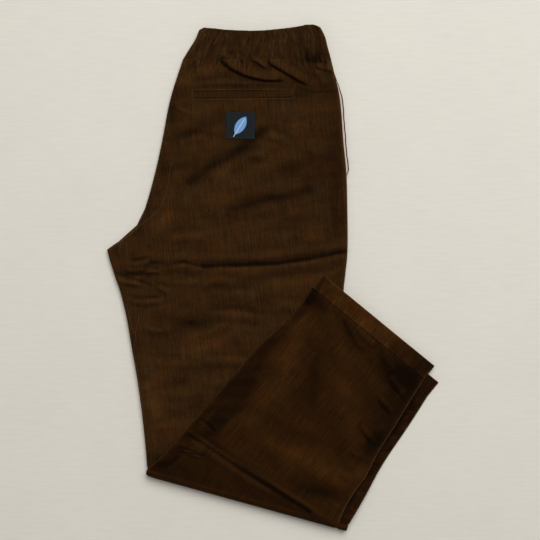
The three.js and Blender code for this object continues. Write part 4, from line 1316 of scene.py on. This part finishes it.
def makeStitches(name, cloth, lines, material, slotName):
    # Each stitch is a small spindle laid on the cloth below it, along its line
    mesh = cloth.data
    tree = BVHTree.FromPolygons([v.co for v in mesh.vertices], [p.vertices for p in mesh.polygons])
    half, thick = threadLook["length"] / 2, threadLook["radius"] / 1000
    bm = bmesh.new()
    for line in lines:
        points, run = lineRun(line)
        for middle in np.arange(threadLook["pitch"] / 2, run[-1], threadLook["pitch"]):
            ends = []
            for place in (middle - half, middle + half):
                x, y = np.interp(place, run, points[:, 0]), np.interp(place, run, points[:, 1])
                spot = (np.array([x, y, threadLook["above"]]) + frameShift) / 1000
                ends.append(tree.ray_cast(Vector(spot), Vector((0, 0, -1)))[0])
            if None in ends:
                continue
            way = ends[1] - ends[0]
            turn = way.to_track_quat("Z", "Y").to_matrix().to_4x4()
            size = Matrix.Diagonal((thick, thick, way.length / 2, 1))
            rise = Vector((0, 0, thick * threadLook["lift"]))
            matrix = Matrix.Translation((ends[0] + ends[1]) / 2 + rise) @ turn @ size
            bmesh.ops.create_uvsphere(bm, u_segments=6, v_segments=4, radius=1, matrix=matrix)
    for face in bm.faces:
        face.smooth = True
    settle(finishMesh(name, bm), material, slotName)


def alongHem(start, end):  # line beside a hem's seam, from its ends
    start, end = np.array(start), np.array(end)
    way = (end - start) / np.hypot(*(end - start))
    beside = np.array([-way[1], way[0]]) * hems["threadInset"]
    return [start + way * 3 + beside, end - way * 3 + beside]


# Back pocket welt and the patch below it, laid on the right back
welt = {
    "left": -113.5,
    "right": 28.6,
    "top": 272,
    "height": 12,
    "tilt": 1.2,
    "rise": 1.2,
    "rounding": 2.6,
    # painted shade in the slot and painted highlight on the bottom edge
    "slotShade": -0.8,
    "edgeShade": 0.4,
}
patch = {
    "rise": 1.15,
    "rounding": 1.2,
    "corner": 2.5,
    "ground": ((0.0075, 0.0105, 0.0125, 1), (0.0175, 0.0215, 0.0235, 1)),
    "weave": 9.0,
    "leaf": (0.17, 0.36, 0.68, 1),
    "leafEdge": 0.25,
    "leafTurn": 58,  # degrees from the patch's lower edge
    "leafRadius": 19.5,  # the leaf is where two discs meet
    "leafApart": 12.4,  # their middles lie this far to both sides of the vein
    "vein": (0.62, 0.64, 0.66, 1),
    "veinWidth": (0.35, 0.6),
    "stalkEnd": (-19.5, -19.0),
    "veinEnd": (10.5, 11.2),
}


def laidPiece(name, node, look, x, y, inset, material, slotName, napAndPaintedShade=0):
    # Thin piece over the right back that falls to it at its rim
    edge = np.clip(inset / look["rounding"], 0, 1)
    z = thighTop(x, y)[0] + 0.1 + look["rise"] * np.sqrt(1 - (1 - edge) ** 2)
    marks = {"napAndPaintedShade": 0 * x + napAndPaintedShade, "wearAndSheen": 0 * x}
    piece = makeSheet(name, np.stack([x, y, z], -1), patternPlace(x, y, 0, False), marks, 1, 0.5)
    settle(piece, material, slotName, node)
    return piece


def edgeFine(count, rim):  # shares from 0 to 1 with extra ones near both ends
    ends = np.linspace(0, rim, 5)[:-1]
    return np.concatenate([ends, np.linspace(rim, 1 - rim, count), 1 - ends[::-1]])


def rimDistance(across, below, width, height):
    return np.minimum(np.minimum(across, 1 - across) * width, np.minimum(below, 1 - below) * height)


def makeWelt():
    across, below = np.meshgrid(edgeFine(80, 0.016), edgeFine(9, 0.16))
    x = mix(welt["left"], welt["right"], across)
    y = welt["top"] - welt["height"] * below + welt["tilt"] * (across - 0.5)
    inset = rimDistance(across, below, welt["right"] - welt["left"], welt["height"])
    # painted shade in the slot under its top edge, softer towards its right end, and a painted highlight
    # along its bottom edge
    shade = welt["slotShade"] * fade(below - 0.15, 0.1) * (1 - 0.5 * smooth((across - 0.68) / 0.12))
    shade += welt["edgeShade"] * fade(1 - below, 0.16)
    laidPiece("pocketWelt", "back_pocket_welt", welt, x, y, inset, weltCloth, "corduroy", shade)


def makePatch():
    across, below = np.meshgrid(edgeFine(22, 0.05), edgeFine(22, 0.05))
    width, height = patchPlace["right"] - patchPlace["left"], patchPlace["top"] - patchPlace["bottom"]
    u, v = (across - 0.5) * width, (0.5 - below) * height
    # corners drawn in to a small round
    cornerX, cornerY = width / 2 - patch["corner"], height / 2 - patch["corner"]
    overX, overY = np.maximum(np.abs(u) - cornerX, 0), np.maximum(np.abs(v) - cornerY, 0)
    reach = np.hypot(overX, overY)
    scale = np.where(reach > 0, np.maximum(overX, overY) / np.maximum(reach, 1e-6), 1)
    u = np.sign(u) * (np.minimum(np.abs(u), cornerX) + overX * scale)
    v = np.sign(v) * (np.minimum(np.abs(v), cornerY) + overY * scale)
    inset = rimDistance(across, below, width, height)
    x, y = u + patchMiddle[0], v + patchMiddle[1]
    return laidPiece("patch", "pocket_patch", patch, x, y, inset, patchCloth, "patch")


def patchMaterial():
    material, shader, wire = startMaterial("wovenPatch", {"Specular IOR Level": 0.06})
    place = objectPlace(wire)
    split = wire.node("ShaderNodeSeparateXYZ", {}, {"Vector": place})
    x = split * 1000.0 - (patchMiddle[0] + frameShift[0])
    y = split.output("Y") * 1000.0 - (patchMiddle[1] + frameShift[1])
    u, v = turned(x, y, patch["leafTurn"])
    # A plain leaf with a vein and a stalk
    radius, apart, edge = patch["leafRadius"], patch["leafApart"], patch["leafEdge"]
    upper = wire.maths("SQRT", u * u + (v - apart) ** 2.0)
    lower = wire.maths("SQRT", u * u + (v + apart) ** 2.0)
    leaf = spread(wire, wire.maths("MAXIMUM", upper, lower), radius - edge, radius + edge, 1.0, 0.0)
    vein = spread(wire, wire.maths("ABSOLUTE", v), *patch["veinWidth"], 1.0, 0.0)
    stalk = vein * spread(wire, u, *patch["stalkEnd"], 0.0, 1.0)
    stalk = stalk * spread(wire, u, *patch["veinEnd"], 1.0, 0.0)
    weave = wire.maths("SINE", x * patch["weave"]) * wire.maths("SINE", y * patch["weave"]) * 0.5 + 0.5
    rough = noise(wire, place, 900.0, 2.0)
    colour = mixColours(wire, weave * 0.6 + rough * 0.4, *patch["ground"])
    colour = mixColours(wire, leaf * (weave * 0.15 + 0.85), colour, patch["leaf"])
    colour = mixColours(wire, stalk * 0.9, colour, patch["vein"])
    feed(wire, shader, colour, weave * 0.1 + 0.75, (0.6, 0.3, weave * 0.4 + leaf * 1.2))
    return material


# Side pocket mouths: the light lining and the front's turned edge along both side seams
mouths = {
    "top": 66,
    "bottom": 222,
    "lining": {"inner": -1.2, "outer": 2.5, "low": 6.4, "high": 7.0},
    "edge": {"inner": 2.3, "outer": 3.9, "low": 6.4, "high": 7.5},
    "tuck": 2.2,  # how far inside the seam their ends go
    "thickness": 0.45,
    "cotton": ((0.42, 0.33, 0.29, 1), (0.72, 0.62, 0.56, 1)),
}


def cottonMaterial():
    material, shader, wire = startMaterial("pocketCotton", {})
    uv = clothPlace(wire)
    weave = noise(wire, uv, 2600.0, 2.0, 0.6)
    slub = noise(wire, uv, 180.0, 3.0)
    colour = mixColours(wire, weave * 0.5 + slub * 0.5, *mouths["cotton"])
    feed(wire, shader, colour, weave * 0.1 + 0.82, (0.5, 0.2, weave))
    return material


def mouthStrip(name, node, part, facing, material, slotName):
    strip = mouths[part]
    across, run = np.meshgrid(np.linspace(0, 1, 7), np.linspace(0, 1, 90))
    down = mix(mouths["top"], mouths["bottom"], run)
    gape = mix(0.25, 1, smooth(run / 0.3 + 0.08) * smooth((1 - run) / 0.07))
    waver = 0.25 * np.sin(run * 21 + 1) + 0.15 * np.sin(run * 53)
    out = mix(strip["inner"], strip["outer"], across) + mouths["tuck"] + waver
    x = thighRight(down) - mouths["tuck"] + out * gape
    arch = np.sqrt(np.maximum(1 - (2 * across - 1) ** 2, 0))
    z = mix(strip["low"] + 0.3, strip["high"], arch)
    height = z if facing > 0 else stack["top"] - z
    points = np.stack([x, stack["waistTop"] - down, height], -1)
    # wear and painted sheen along the strip's long edges
    marks = {"napAndPaintedShade": 0 * x, "wearAndSheen": 0.2 * (1 - arch)}
    pattern = np.stack([x, down], -1) / 1000
    piece = makeSheet(name, points, pattern, marks, facing, mouths["thickness"])
    settle(piece, material, slotName, node)


patchCloth = patchMaterial()
pocketing = cottonMaterial()
brownThread = threadMaterial("brownThread", threadLook["brown"])
darkThread = threadMaterial("darkThread", threadLook["dark"])
navyThread = threadMaterial("navyThread", threadLook["navy"])
rightBackPiece = makeRightBack()
makeLeftBack()
makeRightFront()
makeLeftFront()
print("panels laid")
hemPieces = {name: makeHem(name, place) for name, place in hemPlaces.items()}
makeWaistband()
print("hems and waistband made")
makeWelt()
patchPiece = makePatch()
makeStitches("seamThread", rightBackPiece, seatLines + weltLines, brownThread, "corduroy")
makeStitches("patchThread", patchPiece, patchLines, navyThread, "patch")
for name, place in hemPlaces.items():
    makeStitches(name + "Thread", hemPieces[name], [alongHem(*place["seam"])], darkThread, "corduroy")
for side, facing in (("right", 1), ("left", -1)):
    mouthStrip(side + "PocketLining", side + "_pocket_lining", "lining", facing, pocketing, "pocketing")
    mouthStrip(side + "PocketEdge", side + "_pocket_edge", "edge", facing, flapCloth, "corduroy")
print("pocket, patch and linings made")

# Floor, light and camera
room = {
    "floorSize": 6,
    "floorColour": (0.735, 0.712, 0.648, 1),
    "floorStrokes": (30.0, 260.0, 1.0),  # scale of the brush strokes in the paint, across and along
    "keyPlace": (0.75, 2.1, 3.4),
    "keySize": 3.4,
    "keyPower": 136,
    "keyColour": (1.0, 0.985, 0.955),
    "skyPower": 0.32,
    "skyColour": (1.0, 0.98, 0.95, 1),
    "cameraHeight": 1.8,
    "frameMiddle": (-3.26, 10.15),  # millimetres, as the tables
    "frameWidth": 783,
    "frameLevel": 0.01,  # height above the floor at which the view has that width
    "sensor": 36,
}


def makeFloor():
    bm = bmesh.new()
    bmesh.ops.create_grid(bm, x_segments=1, y_segments=1, size=room["floorSize"] / 2)
    floor = finishMesh("floor", bm)
    material, shader, wire = startMaterial("paintedFloor", {"Roughness": 0.6})
    place = objectPlace(wire)
    blotch = noise(wire, place, 9.0, 5.0, 0.6) - 0.5
    grain = noise(wire, place, 420.0, 2.0, 0.6) - 0.5
    brushed = wire.node("ShaderNodeMapping", {}, {"Vector": place, "Scale": room["floorStrokes"]})
    strokes = noise(wire, brushed, 1.0, 3.0, 0.6) - 0.5
    tone = blotch * 0.07 + grain * 0.08 + strokes * 0.12 + 1.0
    shade = wire.node("ShaderNodeCombineColor", {}, {"Red": tone, "Green": tone, "Blue": tone})
    feed(wire, shader, mixColours(wire, 1.0, room["floorColour"], shade, "MULTIPLY"))
    floor.data.materials.append(material)


def makeLight():
    lamp = bpy.data.lights.new("key", "AREA")
    lamp.shape = "DISK"
    lamp.size = room["keySize"]
    lamp.energy = room["keyPower"]
    lamp.color = room["keyColour"]
    key = bpy.data.objects.new("key", lamp)
    key.location = room["keyPlace"]
    key.rotation_euler = (-Vector(room["keyPlace"])).to_track_quat("-Z", "Y").to_euler()
    bpy.context.scene.collection.objects.link(key)
    world = bpy.data.worlds.new("room")
    world.use_nodes = True
    sky = world.node_tree.nodes["Background"]
    sky.inputs["Color"].default_value = room["skyColour"]
    sky.inputs["Strength"].default_value = room["skyPower"]
    bpy.context.scene.world = world


def makeCamera():
    data = bpy.data.cameras.new("camera")
    camera = bpy.data.objects.new("camera", data)
    middle = (np.array([*room["frameMiddle"], 0]) + frameShift) / 1000
    camera.location = (middle[0], middle[1], room["cameraHeight"])
    data.sensor_width = room["sensor"]
    distance = room["cameraHeight"] - room["frameLevel"]
    data.lens = room["sensor"] * distance / (room["frameWidth"] / 1000)
    bpy.context.scene.collection.objects.link(camera)
    bpy.context.scene.camera = camera


makeFloor()
makeLight()
makeCamera()
bpy.context.scene.view_settings.view_transform = "Standard"
print("room ready")
